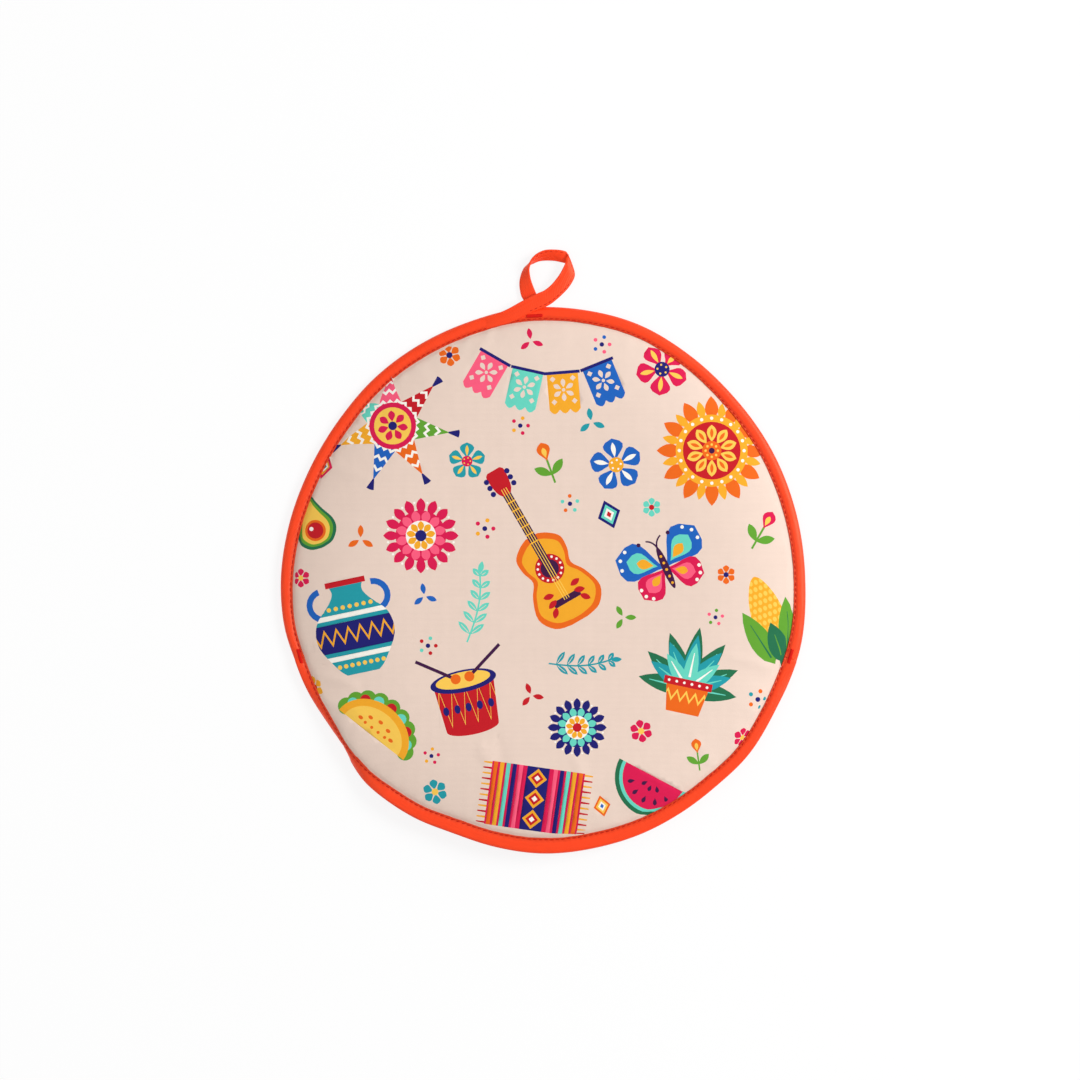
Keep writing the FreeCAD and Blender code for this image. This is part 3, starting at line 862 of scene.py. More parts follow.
def cloth_over_padding(spacing=4.5, frames=26, big=0.02, cap=3.0):
    """Lets the front cloth, cut a little large and held at the tape, fall onto its padding.

    The simulation's own size is big metres for a millimetre, and no point moves further than the cap.
    It returns the cloth's flat points, its triangles and how far each point moved.
    """
    flat, triangles, _ = cut_cloth(front_radius, spacing)
    height = cover_height(flat)
    inset, _ = inset_from(front_radius, flat)
    start = np.column_stack([flat, height + 1.2 * smoothstep(inset / 30)])
    cloth = add_object("draping", start * big / MM, triangles)
    pad = add_object("draping_pad", np.column_stack([flat, height - 0.55]) * big / MM, triangles)
    held = cloth.vertex_groups.new(name="held")
    held.add([int(k) for k in np.flatnonzero(inset < 1.0)], 1.0, "REPLACE")
    bumper = pad.modifiers.new("bumper", "COLLISION")
    bumper.settings.thickness_outer = 0.2 * big
    bumper.settings.cloth_friction = 12
    modifier = cloth.modifiers.new("fabric", "CLOTH")
    fabric = modifier.settings
    fabric.quality = 6
    fabric.mass = 0.25
    fabric.tension_stiffness = 20
    fabric.compression_stiffness = 20
    fabric.shear_stiffness = 8
    fabric.bending_stiffness = 0.35
    fabric.air_damping = 2
    fabric.vertex_group_mass = "held"
    fabric.shrink_min = -0.009
    modifier.collision_settings.distance_min = 0.15 * big
    modifier.collision_settings.use_self_collision = False
    modifier.point_cache.frame_start = 1
    modifier.point_cache.frame_end = frames
    for step in range(1, frames + 1):
        bpy.context.scene.frame_set(step)
    settled = cloth.evaluated_get(bpy.context.evaluated_depsgraph_get())
    points = np.array([v.co for v in settled.data.vertices]) / big
    discard(cloth)
    discard(pad)
    bpy.context.scene.frame_set(1)
    moved = even_out(points - np.column_stack([flat, height]), edges_of(triangles), 2)
    moved[inset < 1.0] = 0
    length = np.linalg.norm(moved, axis=1)[:, None]
    return flat, triangles, moved * np.minimum(1, cap / np.maximum(length, 1e-6))


def carried(points, flat, triangles, moved):
    """How far points of the flat cloth went with the simulated one."""
    flat_points = [(x, y, 0) for x, y in flat]
    tree = BVHTree.FromPolygons(flat_points, triangles)
    found = np.zeros((len(points), 3))
    for k, (x, y) in enumerate(points):
        place, _, index, _ = tree.find_nearest((x, y, 0))
        a, b, c = triangles[index]
        (ax, ay), (bx, by), (cx, cy) = flat[a], flat[b], flat[c]
        whole = (bx - ax) * (cy - ay) - (cx - ax) * (by - ay)
        second = ((place.x - ax) * (cy - ay) - (cx - ax) * (place.y - ay)) / whole
        third = ((bx - ax) * (place.y - ay) - (place.x - ax) * (by - ay)) / whole
        found[k] = (1 - second - third) * moved[a] + second * moved[b] + third * moved[c]
    return found


# Soft creases of the front: the ends of each in millimetres, its height and its half width
CREASES = [
    (-36, -92, -30, -108, 0.55, 2.6), (-26, -88, -22, -112, -0.4, 2.4), (18, -100, 24, -126, 0.55, 2.8),
    (-46, 132, -40, 146, 0.5, 2.2), (-38, 128, -30, 146, 0.45, 2.0), (-128, -52, -108, -58, 0.6, 3.0),
    (-128, -66, -104, -74, 0.5, 3.0), (126, -48, 104, -42, 0.4, 3.0), (96, -104, 84, -88, 0.4, 2.8),
    (-118, 66, -100, 58, 0.35, 2.6), (104, 88, 90, 78, 0.3, 2.6),
]


def crease_height(points):
    total = np.zeros(len(points))
    for x0, y0, x1, y1, height, wide in CREASES:
        run = math.hypot(x1 - x0, y1 - y0)
        dx = points[:, 0] - x0
        dy = points[:, 1] - y0
        along = (dx * (x1 - x0) + dy * (y1 - y0)) / run
        across = (dx * (y1 - y0) - dy * (x1 - x0)) / run
        fade = smoothstep((along + 6) / 8) * smoothstep((run + 6 - along) / 8)
        total += height * fade * np.exp(-(across / wide) ** 2)
    return total


def pucker(points, reach, depth, seed):
    """Small gathers that run in from the seam and fade."""
    inset, degrees = inset_from(reach, points)
    inset = np.clip(inset, 0, None)
    ring = on_ring(MEAN_RIM, degrees, 0.25 * inset)
    fine = wave(ring, 4.2, seed) * np.exp(-inset / 5)
    broad = wave(ring, 11, seed + 7) * np.exp(-inset / 14)
    return depth * (fine + 1.3 * broad) * smoothstep(inset / 2.5)


def paint(piece, colours):
    """Stores the print's colours, one for each face, as light, and joins points that lie together."""
    layer = piece.data.color_attributes.new("print", "FLOAT_COLOR", "CORNER")
    rows = np.array(colours, float) / 255
    rows = np.where(rows <= 0.04045, rows / 12.92, ((rows + 0.055) / 1.055) ** 2.4)
    rows = np.repeat(np.column_stack([rows, np.ones(len(rows))]), 3, axis=0)
    layer.data.foreach_set("color", rows.astype(np.float32).ravel())
    work = bmesh.new()
    work.from_mesh(piece.data)
    bmesh.ops.remove_doubles(work, verts=work.verts, dist=0.03 * MM)
    bmesh.ops.delete(work, geom=[v for v in work.verts if not v.link_faces], context="VERTS")
    work.to_mesh(piece.data)
    work.free()


def planar_uv(piece):
    """A map of the cloth as seen from above."""
    points = np.array([v.co for v in piece.data.vertices])[:, :2] / MM
    lay_uv(piece, "OFBake", 0.5 + points / MAP_SIZE)


def make_front_cover(moved_cloth):
    """The printed front, one cloth over the pocket and its flap."""
    shapes = []
    lay_print(shapes)
    flat, triangles, colours = cut_cloth(front_radius, 2.6, shapes, BEND_SPACING)
    offset = np.zeros((len(flat), 3))
    if moved_cloth:
        near = [(0, 0)] + oval(0, 0, 2.6, sides=6)
        offset = sum(carried(flat + shift, *moved_cloth) for shift in near) / len(near)
        offset *= smoothstep(inset_from(front_radius, flat)[0] / 4)[:, None]
    points = np.column_stack([flat, cover_height(flat)]) + offset
    points[:, 2] += pucker(flat, front_radius, 0.42, 3) + crease_height(flat)
    points[:, 2] += 0.25 * wave(points * (1, 1, 0), 38, 11)
    piece = add_object("printed_front_cover", settle(points), triangles)
    paint(piece, colours)
    planar_uv(piece)
    return piece


def make_back_cover():
    """The printed back, cut from another part of the same cloth."""
    shapes = []
    lay_print(shapes)
    turn = math.radians(115)
    turned = []
    for points, colour, within in shapes:
        across = []
        for x, y in points:
            across.append((-x * math.cos(turn) - y * math.sin(turn), y * math.cos(turn) - x * math.sin(turn)))
        turned.append((across, colour, within))
    flat, triangles, colours = cut_cloth(back_radius, 3.0, turned)
    height = back_cover_height(flat) - pucker(flat, back_radius, 0.2, 23) * (back_cover_height(flat) > 0.3)
    piece = add_object("printed_back_cover", np.column_stack([flat, height]), [t[::-1] for t in triangles])
    paint(piece, colours)
    planar_uv(piece)
    return piece


def make_lining(name, height, reach, front):
    """A plain lining cloth of one panel."""
    flat, triangles, _ = cut_cloth(reach, 3.6, fine=BEND_SPACING if front else None)
    points = np.column_stack([flat, height(flat)])
    drop = pucker(flat, reach, 0.3, 41 if front else 57) + 0.2 * wave(points * (1, 1, 0), 30, 61)
    points[:, 2] += -np.abs(drop) if front else np.abs(drop)
    if front:
        points = settle(points)
        triangles = [t[::-1] for t in triangles]
    piece = add_object(name, points, triangles)
    planar_uv(piece)
    return piece


def make_pad(name, low, high, reach, shaper=None):
    """A closed pad of batting between two heights, thin at the seam and full in the middle."""
    flat, triangles, _ = cut_cloth(reach, 4.2, fine=BEND_SPACING if shaper else None, edge=4.0)
    gap = high(flat) - low(flat)
    bottom = low(flat) + 0.2 * gap
    top = np.maximum(high(flat) - np.maximum(0.33 * gap, 1.1), bottom + 0.1)
    points = np.vstack([np.column_stack([flat, bottom]), np.column_stack([flat, top])])
    points[len(flat):, 2] += 0.12 * gap / gap.max() * wave(points[len(flat):] * (1, 1, 0), 9, 71)
    sides = np.array(triangles)[:, [0, 1, 1, 2, 2, 0]].reshape(-1, 2)
    found, counts = np.unique(np.sort(sides, axis=1), axis=0, return_counts=True)
    faces = [tuple(t[::-1]) for t in triangles]
    faces += [tuple(v + len(flat) for v in t) for t in triangles]
    faces += [(a, b, b + len(flat), a + len(flat)) for a, b in found[counts == 1].tolist()]
    piece = add_object(name, shaper(points) if shaper else points, faces)
    face_outward(piece)
    return piece


def tape_section(width, low, high, thickness):
    """The outer and inner skin of a folded tape at each station, from its front edge round to its back one.

    A row is (how far out from its inner edge, height).
    """
    half = (high - low) / 2
    middle = (high + low) / 2
    roll = np.minimum(1.35 * half, 0.45 * width)
    flat = width - roll
    crest = half + TAPE_CREST
    outer = []
    for out, lift in TAPE_LIP:
        outer.append((out + 0 * width, half + lift))
    lip_end = TAPE_LIP[-1][0]
    for share in (0.35, 0.7):
        outer.append((lip_end + (flat - lip_end) * share, crest))
    for angle in range(90, -1, -15):
        turn = math.radians(angle)
        outer.append((flat + roll * math.cos(turn), crest * math.sin(turn)))
    outer += [(out, -np.minimum(up, half + 0.04)) for out, up in reversed(outer[:-1])]
    inner = []
    for out, up in outer:
        side = np.sign(up + 1e-9)
        flat_up = side * (half - thickness)
        round_up = up * (half - thickness) / crest
        inner.append((np.minimum(out, flat + (out - flat) * (roll - thickness) / roll),
                      np.where(out > flat, round_up, flat_up)))
    outer = np.array([(o, middle + u) for o, u in outer])
    inner = np.array([(o, middle + u) for o, u in inner])
    return outer, inner


def make_tape(name, start, stop, reach, low, high, shaper=None, seed=0):
    """A folded tape round the rim between two angles."""
    count = int((stop - start) * 3.2)
    degrees = np.linspace(start, stop, count)
    width = tape_width(degrees) + 0.22 * rim_wave(degrees, 13, seed) + 0.1 * rim_wave(degrees, 4, seed + 3)
    outer, inner = tape_section(width, low(degrees), high(degrees), TAPE_THICKNESS)
    step = math.radians(degrees[1] - degrees[0]) * MEAN_RIM
    run = np.concatenate([[0], np.cumsum(np.full(count - 1, step))])
    gather = 0.07 * np.cos(2 * math.pi * run / STITCH_PITCH) + 0.16 * rim_wave(degrees, 6, seed + 5)
    broad = 0.3 * rim_wave(degrees, 26, seed + 9)
    foot = reach(degrees) - width
    rows = []
    for skin in (outer, inner[::-1]):
        for out, height in skin:
            near_stitch = np.exp(-((out - 1.6) / 1.6) ** 2)
            side = np.sign(height - (low(degrees) + high(degrees)) / 2)
            up = height + side * gather * near_stitch + 0.25 * broad * (side > 0)
            rows.append(on_ring(foot + out, degrees, up))
    grid = np.stack(rows, 1)
    stations, around = grid.shape[:2]
    points = grid.reshape(-1, 3)
    faces = lattice(stations, around, True)
    half = around // 2
    for end in (0, (stations - 1) * around):
        faces += [(end + k, end + k + 1, end + around - 2 - k, end + around - 1 - k) for k in range(half - 1)]
    piece = add_object(name, shaper(points) if shaper else points, faces)
    face_outward(piece)
    across = run_along(grid[stations // 2])
    from_edge = np.minimum(across, abs(across[half - 1] - across))
    lay_weave(piece, run, from_edge)
    return piece


def sew(name, path, up, pitch, length, thick, lean=0, rise=None, jitter=0.06, seed=5):
    """A row of stitches along a path.

    Each is a short strand that dips into the cloth at both ends, turned by lean degrees from the path.
    """
    draw = np.random.default_rng(seed)
    run = run_along(path)
    count = max(int(run[-1] / pitch), 1)
    marks = (np.arange(count) + 0.5) * run[-1] / count
    places = np.stack([np.interp(marks, run, path[:, k]) for k in range(3)], 1)
    ahead = np.stack([np.interp(marks + 0.2, run, path[:, k]) for k in range(3)], 1)
    behind = np.stack([np.interp(marks - 0.2, run, path[:, k]) for k in range(3)], 1)
    along = ahead - behind
    along /= np.linalg.norm(along, axis=1)[:, None]
    ups = np.broadcast_to(np.asarray(up, float), path.shape)
    lift = np.stack([np.interp(marks, run, ups[:, k]) for k in range(3)], 1)
    side = np.cross(lift, along)
    side /= np.linalg.norm(side, axis=1)[:, None]
    lift = np.cross(along, side)
    turn = np.radians(lean + 60 * jitter * draw.standard_normal(count))[:, None]
    along, side = along * np.cos(turn) + side * np.sin(turn), side * np.cos(turn) - along * np.sin(turn)
    places += side * (jitter * draw.standard_normal(count))[:, None]
    rise = thick * 0.55 if rise is None else rise
    rings = 7
    sides = 8
    template = []
    for ring in range(rings):
        t = -1 + 2 * ring / (rings - 1)
        radius = thick / 2 * math.sqrt(max(1 - (0.93 * t) ** 4, 0.05))
        bow = rise * (1 - t * t) - thick * 0.35
        for k in range(sides):
            a = 2 * math.pi * k / sides
            template.append((t * length / 2, radius * math.cos(a), bow + radius * math.sin(a)))
    template = np.array(template)
    frames = np.stack([along, side, lift], 1)
    points = places[:, None, :] + np.einsum("tk,nkd->ntd", template, frames)
    one = lattice(rings, sides, True)
    one += [tuple(range(sides)), tuple(reversed(range((rings - 1) * sides, rings * sides)))]
    size = rings * sides
    faces = [tuple(v + n * size for v in face) for n in range(count) for face in one]
    piece = add_object(name, points.reshape(-1, 3), faces)
    face_outward(piece)
    return piece


def rim_path(start, stop, reach, height, inset=STITCH_INSET, step=0.4):
    """Points along the rim at a distance out from the tape's inner edge."""
    degrees = np.arange(start, stop, step)
    radius = reach(degrees) - tape_width(degrees) + inset
    return on_ring(radius, degrees, height(degrees))


def level(value):
    """The same height at every angle."""
    return lambda degrees: np.full(np.shape(degrees), float(value))


# The loop's tape, station by station: its edge on the eye's side, then its other edge, as x, y and height
LOOP_STATIONS = [
    (-41.5, 148.3, 3.4, -39.4, 142.2, 3.4), (-33.5, 151.2, 5.2, -31.6, 145.0, 5.2),
    (-22.9, 155.1, 6.25, -20.6, 147.8, 6.25), (-12.7, 160.6, 6.5, -8.6, 153.4, 6.5),
    (-4.6, 164.6, 6.3, 1.2, 157.4, 6.4), (-0.6, 166.4, 6.0, 5.9, 160.6, 6.1),
    (3.0, 169.2, 5.7, 10.3, 164.6, 5.5), (6.0, 172.6, 5.5, 14.1, 168.9, 4.8),
    (8.6, 176.2, 5.6, 16.7, 173.6, 4.2), (10.1, 179.0, 5.7, 17.0, 177.0, 4.1),
    (11.1, 181.0, 5.7, 15.4, 182.0, 4.5), (11.4, 181.9, 5.3, 13.5, 186.6, 5.0),
    (11.2, 182.2, 3.9, 12.9, 187.6, 3.8), (10.3, 182.5, 2.6, 12.0, 188.8, 4.0),
    (8.6, 183.0, 2.0, 9.8, 189.4, 4.9), (5.2, 183.7, 1.5, 5.6, 189.8, 5.6),
    (0.4, 184.0, 1.2, 0, 189.4, 6.0), (-3.6, 183.6, 0.9, -4.4, 187.4, 6.2),
    (-6.8, 182.5, 0.8, -7.2, 184.6, 6.4), (-9.8, 181.1, 0.8, -8.6, 181.7, 6.2),
    (-12.2, 178.9, 0.9, -9.2, 178.8, 5.6), (-13.9, 175.4, 1.2, -8.6, 174.9, 4.5),
    (-14.7, 171.2, 1.5, -7.6, 171.4, 3.6), (-14.4, 166.8, 1.7, -6.3, 168.0, 3.0),
    (-13.2, 162.6, 1.9, -4.6, 164.2, 2.7), (-9.8, 158.2, 2.2, -1.8, 160.6, 2.7),
    (-5.6, 154.6, 2.6, 0.8, 157.2, 2.7), (-2.4, 151.2, 2.8, 2.8, 154.0, 2.8),
]
LOOP_THICKNESS = 1.15
# How far in from its folded edge a tape's colour is darkened with painted shade, standing in for the shadow
# along its seam
TAPE_SEAM_SHADE = 3.4
LOOP_STEPS = 7


def loop_edges():
    table = spline(LOOP_STATIONS, LOOP_STEPS)
    return table[:, :3], table[:, 3:]


def loop_normals(near, far):
    middle = (near + far) / 2
    along = np.gradient(middle, axis=0)
    normal = np.cross(along, far - near)
    return -normal / np.linalg.norm(normal, axis=1)[:, None]


def make_loop():
    """The loop of folded tape: it leaves the rim, turns over at the top and ends behind its own crossing."""
    near, far = loop_edges()
    normal = loop_normals(near, far)
    run = run_along((near + far) / 2)
    across = [(0.0, -0.1), (0.012, 0.62), (0.05, 0.98), (0.12, 0.78), (0.16, 0.72), (0.22, 0.95), (0.4, 1.06),
              (0.6, 1.06), (0.78, 0.98), (0.86, 0.80), (0.93, 0.98), (0.985, 0.62), (1.0, -0.1)]
    under = [(0.985, -0.7), (0.93, -0.98), (0.6, -1), (0.3, -1), (0.07, -0.98), (0.012, -0.7)]
    ripple = 0.14 * wave(np.column_stack([run, 0 * run, 0 * run]), 6, 91)
    rows = []
    for share, lift in across + under:
        sag = 0.35 * math.sin(math.pi * share) * np.sin(run / 9)
        height = LOOP_THICKNESS / 2 * lift + sag * 0.4 + ripple * (1 if share > 0.5 else -1)
        rows.append(near + (far - near) * share + normal * height[:, None])
    grid = np.stack(rows, 1)
    stations, around = grid.shape[:2]
    faces = lattice(stations, around, True)
    faces += [tuple(range(around)), tuple(reversed(range((stations - 1) * around, stations * around)))]
    piece = add_object("hanging_loop_tape", grid.reshape(-1, 3), faces)
    face_outward(piece)
    # The loop's map starts past the tape's painted seam shade, so none of it is painted on the loop
    wide = TAPE_SEAM_SHADE + np.array([share for share, _ in across + under]) * 8
    lay_weave(piece, run, wide)
    return piece


def make_loop_seam(name):
    """The seam along the loop's tape, near its long edge away from the eye."""
    near, far = loop_edges()
    normal = loop_normals(near, far)
    first = 3 * LOOP_STEPS
    last = len(near) - 3 * LOOP_STEPS
    path = (far + (near - far) * 0.14 + normal * LOOP_THICKNESS * 0.36)[first:last]
    return sew(name, path, normal[first:last], 2.9, 2.1, 0.34, seed=31)


def make_tack(name, x, y, height, lean, length=8.2):
    """A bar tack: a laid thread and a close zigzag over it."""
    turn = math.radians(lean)
    ahead = np.array([math.cos(turn), math.sin(turn), 0])
    centre = np.array([x, y, height])
    path = np.array([centre + ahead * length * (k / 12 - 0.5) for k in range(13)])
    core = [centre + ahead * length * (k / 12 - 0.5) - (0, 0, 0.12) for k in range(13)]
    bar = sew(name, path, (0, 0, 1), 0.42, 2.0, 0.55, lean=78, rise=0.3, jitter=0.05, seed=47)
    laid = sew(name + "_laid", np.array(core), (0, 0, 1), length, length + 0.6, 0.9, rise=0.2, jitter=0,
               seed=48)
    work = bmesh.new()
    work.from_mesh(bar.data)
    work.from_mesh(laid.data)
    work.to_mesh(bar.data)
    work.free()
    discard(laid)
    return bar


def light(colour):
    """A colour written for a screen, as light for a shader."""
    rows = [c / 255 for c in colour]
    return tuple(c / 12.92 if c <= 0.04045 else ((c + 0.055) / 1.055) ** 2.4 for c in rows) + (1.0,)


UNTINTED = (1, 1, 1, 1)
# Colours of the cloths and threads, as written for a screen
LINING_COLOUR = (240, 232, 218)
BATTING_COLOUR = (244, 242, 236)
SATIN_COLOUR = (255, 60, 8)
SATIN_SHEEN = (255, 160, 110)
SATIN_GLOSS = (255, 200, 168)
SEAM_COLOUR = (200, 26, 12)
TACK_COLOUR = (222, 22, 10)


class Finish:
    """One material made of nodes round a Principled shader."""

    def __init__(self, name, roughness, sheen=0.0, sheen_tint=UNTINTED, specular=0.5, gloss_tint=UNTINTED):
        self.material = bpy.data.materials.new(name)
        self.material.use_nodes = True
        self.tree = self.material.node_tree
        self.shader = self.tree.nodes["Principled BSDF"]
        self.shader.inputs["Roughness"].default_value = roughness
        self.shader.inputs["Sheen Weight"].default_value = sheen
        self.shader.inputs["Sheen Roughness"].default_value = 0.45
        self.shader.inputs["Sheen Tint"].default_value = sheen_tint
        self.shader.inputs["Specular IOR Level"].default_value = specular
        self.shader.inputs["Specular Tint"].default_value = gloss_tint

    def node(self, kind, values=None, **settings):
        made = self.tree.nodes.new(kind)
        for key, value in settings.items():
            setattr(made, key, value)
        for key, value in (values or {}).items():
            if isinstance(value, bpy.types.NodeSocket):
                self.tree.links.new(value, made.inputs[key])
            else:
                made.inputs[key].default_value = value
        return made

    def place(self, layer=None):
        """Where a point is: on the cloth's own map, or in the object's frame."""
        if layer:
            return self.node("ShaderNodeUVMap", uv_map=layer).outputs[0]
        return self.node("ShaderNodeTexCoord").outputs["Object"]

    def bands(self, place, pitch, direction):
        """Fine threads with this pitch, in the units of the place."""
        values = {"Vector": place, "Scale": math.pi / 10 / pitch, "Distortion": 0.6}
        values.update({"Detail": 1.0, "Detail Scale": 0.4})
        return self.node("ShaderNodeTexWave", values, bands_direction=direction).outputs["Fac"]

    def noise(self, place, size, detail=3.0, roughness=0.55):
        values = {"Vector": place, "Scale": 1 / size, "Detail": detail, "Roughness": roughness}
        return self.node("ShaderNodeTexNoise", values).outputs["Fac"]

    def combine(self, operation, first, second):
        return self.node("ShaderNodeMath", {0: first, 1: second}, operation=operation).outputs[0]

    def shade(self, colour, dark, pale, amount):
        """The colour, multiplied by a grey between dark and pale as the amount goes from 0 to 1."""
        grey = self.node("ShaderNodeMapRange", {"Value": amount, "To Min": dark, "To Max": pale})
        values = {0: 1.0, 6: colour, 7: grey.outputs["Result"]}
        made = self.node("ShaderNodeMix", values, data_type="RGBA", blend_type="MULTIPLY")
        return made.outputs[2]

    def finish(self, colour, height, distance, strength=1.0):
        if isinstance(colour, bpy.types.NodeSocket):
            self.tree.links.new(colour, self.shader.inputs["Base Color"])
        else:
            self.shader.inputs["Base Color"].default_value = colour
        bump = self.node("ShaderNodeBump", {"Strength": strength, "Distance": distance, "Height": height})
        self.tree.links.new(bump.outputs[0], self.shader.inputs["Normal"])
        return self.material


def woven(finish, place, pitch):
    """The height of a plain weave."""
    warp = finish.bands(place, pitch, "X")
    weft = finish.bands(place, pitch * 1.1, "Y")
    return finish.combine("MULTIPLY", warp, weft)


def make_printed_cloth():
    made = Finish("printed_cotton", 0.82, sheen=0.12, specular=0.25)
    place = made.place("OFBake")
    weave = woven(made, place, 0.62 / MAP_SIZE)
    soft = made.noise(place, 9 / MAP_SIZE)
    slub = made.noise(place, 0.9 / MAP_SIZE, 2.0)
    height = made.combine("ADD", weave, made.combine("MULTIPLY", slub, 0.7))
    colour = made.node("ShaderNodeAttribute", attribute_name="print").outputs["Color"]
    colour = made.shade(colour, 0.955, 1.02, soft)
    colour = made.shade(colour, 0.95, 1.0, weave)
    return made.finish(colour, height, 0.00009)


def make_lining_cloth():
    made = Finish("cream_lining", 0.85, sheen=0.15, specular=0.25)
    place = made.place("OFBake")
    weave = woven(made, place, 0.8 / MAP_SIZE)
    colour = made.shade(light(LINING_COLOUR), 0.93, 1.0, made.noise(place, 12 / MAP_SIZE))
    colour = made.shade(colour, 0.94, 1.0, weave)
    return made.finish(colour, weave, 0.0001)


def make_batting():
    made = Finish("white_batting", 0.95, sheen=0.4, specular=0.1)
    place = made.place()
    fibre = made.noise(place, 0.0022, 6.0, 0.7)
    colour = made.shade(light(BATTING_COLOUR), 0.86, 1.0, fibre)
    return made.finish(colour, fibre, 0.0008)


def make_tape_cloth():
    made = Finish("satin_bias_tape", 0.46, 0.15, light(SATIN_SHEEN), 0.8, light(SATIN_GLOSS))
    place = made.place("weave")
    twill = made.bands(place, 0.00062, "DIAGONAL")
    stretched = made.node("ShaderNodeMapping", {"Vector": place, "Scale": (0.25, 1.4, 1)}).outputs[0]
    streak = made.noise(stretched, 0.0016, 4.0)
    broad = made.noise(place, 0.012, 2.0)
    colour = made.shade(light(SATIN_COLOUR), 0.88, 1.1, streak)
    colour = made.shade(colour, 0.94, 1.06, broad)
    colour = made.shade(colour, 0.94, 1.02, twill)
    # Painted shade: the tape's colour darkens towards its folded inner edge, standing in for the shadow of
    # the seam and the padding beside it
    from_edge = made.node("ShaderNodeSeparateXYZ", {0: place}).outputs[1]
    painted_shade_fade = made.combine("DIVIDE", from_edge, TAPE_SEAM_SHADE * MM)
    colour = made.shade(colour, 0.6, 1.0, painted_shade_fade)
    height = made.combine("ADD", made.combine("MULTIPLY", twill, 0.35), made.combine("MULTIPLY", streak, 1.2))
    return made.finish(colour, height, 0.00012)


def make_thread(name, colour, dark=0.75):
    made = Finish(name, 0.6, specular=0.15)
    place = made.place()
    ply = made.noise(place, 0.00035, 2.0)
    shaded = made.shade(light(colour), dark, 1.08, ply)
    return made.finish(shaded, ply, 0.00006)


def dress(piece, material, slot, *nodes):
    """Gives a piece its material, and hides the CAD parts that it stands for; the slot is not used."""
    piece.data.materials.clear()
    piece.data.materials.append(material)
    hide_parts(*nodes)
    return piece


def tuck_ends(points):
    """Draws the ends of a lip's tape in a little, where they lie inside the rim's tape."""
    radius, degrees = to_polar(points)
    past = np.minimum(np.mod(degrees, 360) - MOUTH_START, MOUTH_STOP - np.mod(degrees, 360))
    share = smoothstep(0.5 - past / 0.3)
    points = np.array(points, float)
    middle = (BACK_UNDER + SIDE_LIP) / 2
    shrink = 1 - 0.25 * share / np.maximum(radius, 1)
    points[:, 0] *= shrink
    points[:, 1] *= shrink
    points[:, 2] += (middle - points[:, 2]) * 0.16 * share
    return points


def on_flap(piece):
    """Bakes the piece's transform into its mesh."""
    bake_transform(piece)


printed = make_printed_cloth()
lining = make_lining_cloth()
batting = make_batting()
satin = make_tape_cloth()
seam_thread = make_thread("seam_thread", SEAM_COLOUR)
tack_thread = make_thread("tack_thread", TACK_COLOUR, 0.85)

moved = cloth_over_padding()

front_cover = dress(make_front_cover(moved), printed, "printed_cloth", "front_shell", "flap_shell")
on_flap(front_cover)

front_lining = dress(make_lining("front_pocket_lining", front_lining_height, front_radius, True), lining,
                     "lining_cloth", "front_lining", "flap_lining")
on_flap(front_lining)

front_pad = dress(make_pad("front_padding", front_lining_height, cover_height, front_radius, settle), batting,
                  "batting", "front_batting", "flap_batting")
on_flap(front_pad)

back_cover = dress(make_back_cover(), printed, "printed_cloth", "back_shell")
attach(back_cover, "pouch")

back_lining = dress(make_lining("back_pocket_lining", back_lining_height, back_radius, False), lining,
                    "lining_cloth", "back_lining")
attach(back_lining, "pouch")

back_pad = dress(make_pad("back_padding", back_cover_height, back_lining_height, back_radius), batting,
                 "batting", "back_batting")
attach(back_pad, "pouch")

# The rim's tape wraps the whole pouch between the mouth's corners, over the top
RIM_START = MOUTH_STOP - 360
# How far the lips' tapes run on inside the rim's, in degrees
TUCK = 1.2
rim_tape = dress(make_tape("rim_tape", RIM_START, MOUTH_START, front_radius, level(BACK_UNDER),
                           level(SIDE_LIP), seed=2), satin, "binding_tape", "edge_binding")
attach(rim_tape, "pouch")
flap_tape = dress(make_tape("front_lip_tape", MOUTH_START - TUCK, MOUTH_STOP + TUCK, front_radius,
                            level(FLAP_UNDER), front_lip, lambda points: settle(tuck_ends(points)), seed=40),
                  satin, "binding_tape", "flap_binding")
on_flap(flap_tape)
back_tape = dress(make_tape("back_lip_tape", MOUTH_START - TUCK, MOUTH_STOP + TUCK, back_radius,
                            level(BACK_UNDER), level(BACK_LIP), tuck_ends, seed=70),
                  satin, "binding_tape", "back_mouth_binding")
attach(back_tape, "pouch")


def sew_rim(name, start, stop, reach, height, up, node, seed):
    path = rim_path(start, stop, reach, height)
    row = sew(name, path, (0, 0, up), STITCH_PITCH, 2.5, 0.48, lean=5, seed=seed)
    return dress(row, seam_thread, "seam_thread", node)


SEAM_SINK = 0.16
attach(sew_rim("rim_stitches_front", RIM_START + 1, MOUTH_START - 1, front_radius,
                level(SIDE_LIP - SEAM_SINK), 1, "edge_stitching_front", 11), "pouch")
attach(sew_rim("rim_stitches_back", RIM_START + 1, MOUTH_START - 1, front_radius,
                level(BACK_UNDER + SEAM_SINK), -1, "edge_stitching_back", 12), "pouch")
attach(sew_rim("back_lip_stitches", MOUTH_START + 1.5, MOUTH_STOP - 1.5, back_radius,
                level(BACK_LIP - SEAM_SINK), 1, "back_mouth_stitching", 13), "pouch")
flap_stitches = sew_rim("front_lip_stitches", MOUTH_START + 1.5, MOUTH_STOP - 1.5, front_radius,
                        lambda a: front_lip(a) - SEAM_SINK, 1, "flap_stitching", 14)
sewn = np.array([v.co for v in flap_stitches.data.vertices]) / MM
flap_stitches.data.vertices.foreach_set("co", (settle(sewn) * MM).astype(np.float32).ravel())
flap_stitches.data.update()
on_flap(flap_stitches)

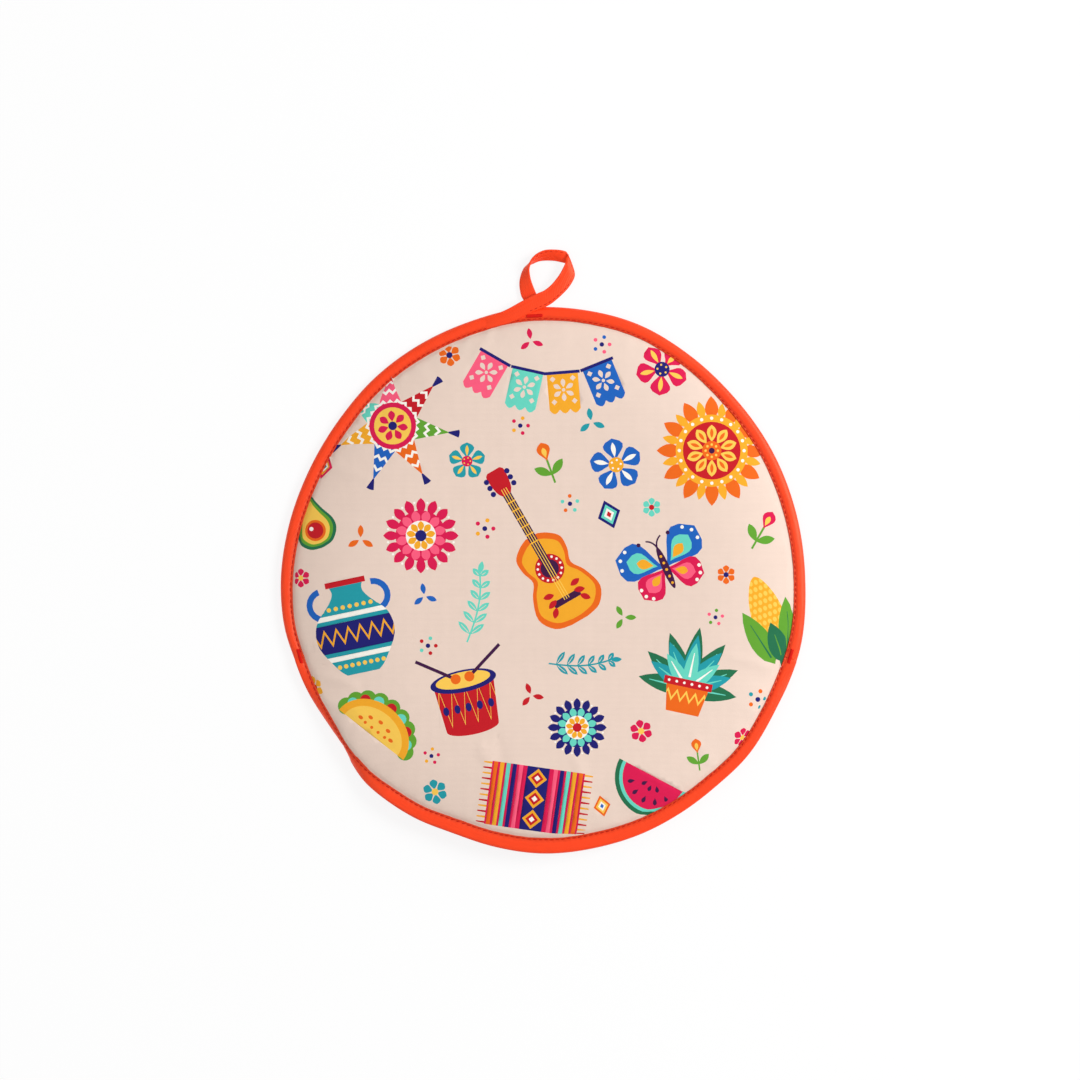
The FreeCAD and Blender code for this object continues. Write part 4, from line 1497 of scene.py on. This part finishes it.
TACK_HEIGHT = SIDE_LIP + 0.42
SIDE_TACK_X = 140.2
SIDE_TACK_Y = -42.6
SIDE_TACK_LEAN = 74
LOOP_TACK_X = -6.0
LOOP_TACK_Y = 151.9
for side, name, node in ((1, "right_bar_tack", "bar_tack_right"), (-1, "left_bar_tack", "bar_tack_left")):
    tack = make_tack(name, side * SIDE_TACK_X, SIDE_TACK_Y, TACK_HEIGHT, side * SIDE_TACK_LEAN)
    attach(dress(tack, tack_thread, "tack_thread", node), "pouch")
tack = make_tack("loop_bar_tack", LOOP_TACK_X, LOOP_TACK_Y, TACK_HEIGHT + 0.1, 3, 9.0)
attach(dress(tack, tack_thread, "tack_thread", "loop_tack"), "pouch")

loop = dress(make_loop(), satin, "binding_tape", "hanging_loop", "loop_base")
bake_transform(loop)
loop_seam = dress(make_loop_seam("hanging_loop_stitches"), seam_thread, "seam_thread", "loop_stitching")
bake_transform(loop_seam)


def make_floor():
    """A pale floor that keeps the object's shadow and reads as white paper from the camera."""
    half = 4000
    corners = [(-half, -half, 0), (half, -half, 0), (half, half, 0), (-half, half, 0)]
    floor = add_object("floor", corners, [(0, 1, 2, 3)], False)
    paper = Finish("white_paper", 0.9, specular=0.1)
    paper.shader.inputs["Base Color"].default_value = (0.95, 0.95, 0.95, 1)
    glow = paper.node("ShaderNodeEmission", {"Color": (1, 1, 1, 1), "Strength": 1.0})
    path = paper.node("ShaderNodeLightPath")
    seen = paper.combine("MAXIMUM", path.outputs["Is Camera Ray"], path.outputs["Is Glossy Ray"])
    seen = paper.combine("MAXIMUM", seen, path.outputs["Is Transmission Ray"])
    share = paper.combine("MULTIPLY", seen, 0.85)
    mixed = paper.node("ShaderNodeMixShader", {0: share, 1: paper.shader.outputs[0], 2: glow.outputs[0]})
    paper.tree.links.new(mixed.outputs[0], paper.tree.nodes["Material Output"].inputs["Surface"])
    floor.data.materials.append(paper.material)


def make_world():
    """Plain even light, with white behind the object for the camera."""
    world = bpy.data.worlds.new("studio")
    bpy.context.scene.world = world
    world.use_nodes = True
    tree = world.node_tree
    tree.nodes.clear()
    out = tree.nodes.new("ShaderNodeOutputWorld")
    white = tree.nodes.new("ShaderNodeBackground")
    white.inputs["Strength"].default_value = 1.0
    soft = tree.nodes.new("ShaderNodeBackground")
    soft.inputs["Strength"].default_value = AMBIENT
    path = tree.nodes.new("ShaderNodeLightPath")
    mix = tree.nodes.new("ShaderNodeMixShader")
    for background in (white, soft):
        background.inputs["Color"].default_value = (1, 1, 1, 1)
    tree.links.new(path.outputs["Is Camera Ray"], mix.inputs[0])
    tree.links.new(soft.outputs[0], mix.inputs[1])
    tree.links.new(white.outputs[0], mix.inputs[2])
    tree.links.new(mix.outputs[0], out.inputs[0])


def add_lamp(name, place, size, power):
    """A round lamp that faces the object."""
    lamp = bpy.data.lights.new(name, "AREA")
    lamp.shape = "DISK"
    lamp.size = size
    lamp.energy = power
    holder = bpy.data.objects.new(name, lamp)
    holder.location = place
    aim = Vector((0, 0.02, 0.01)) - Vector(place)
    holder.rotation_euler = aim.to_track_quat("-Z", "Y").to_euler()
    bpy.context.scene.collection.objects.link(holder)


AMBIENT = 0.53
CAMERA_DISTANCE = 1.8
FRAME_WIDTH = 0.6171
SENSOR = 36
# Above what point of the object the camera stands, and the height that it looks at
CAMERA_X = -0.0029
CAMERA_Y = 0.0238
LOOK_HEIGHT = 0.006
# Each lamp's name, place, width and power
LAMPS = [
    ("key", (1.7, 0.56, 1.5), 1.0, 37),
    ("rake", (1.9, 0.3, 0.5), 0.7, 3),
    ("fill", (-0.9, -0.4, 1.5), 1.2, 3.4),
]
make_floor()
make_world()
for lamp in LAMPS:
    add_lamp(*lamp)

camera_data = bpy.data.cameras.new("camera")
camera_data.sensor_width = SENSOR
camera_data.lens = SENSOR * CAMERA_DISTANCE / FRAME_WIDTH
camera = bpy.data.objects.new("camera", camera_data)
camera.location = (CAMERA_X, CAMERA_Y, CAMERA_DISTANCE + LOOK_HEIGHT)
bpy.context.scene.collection.objects.link(camera)
bpy.context.scene.camera = camera
bpy.context.scene.view_settings.view_transform = "Standard"
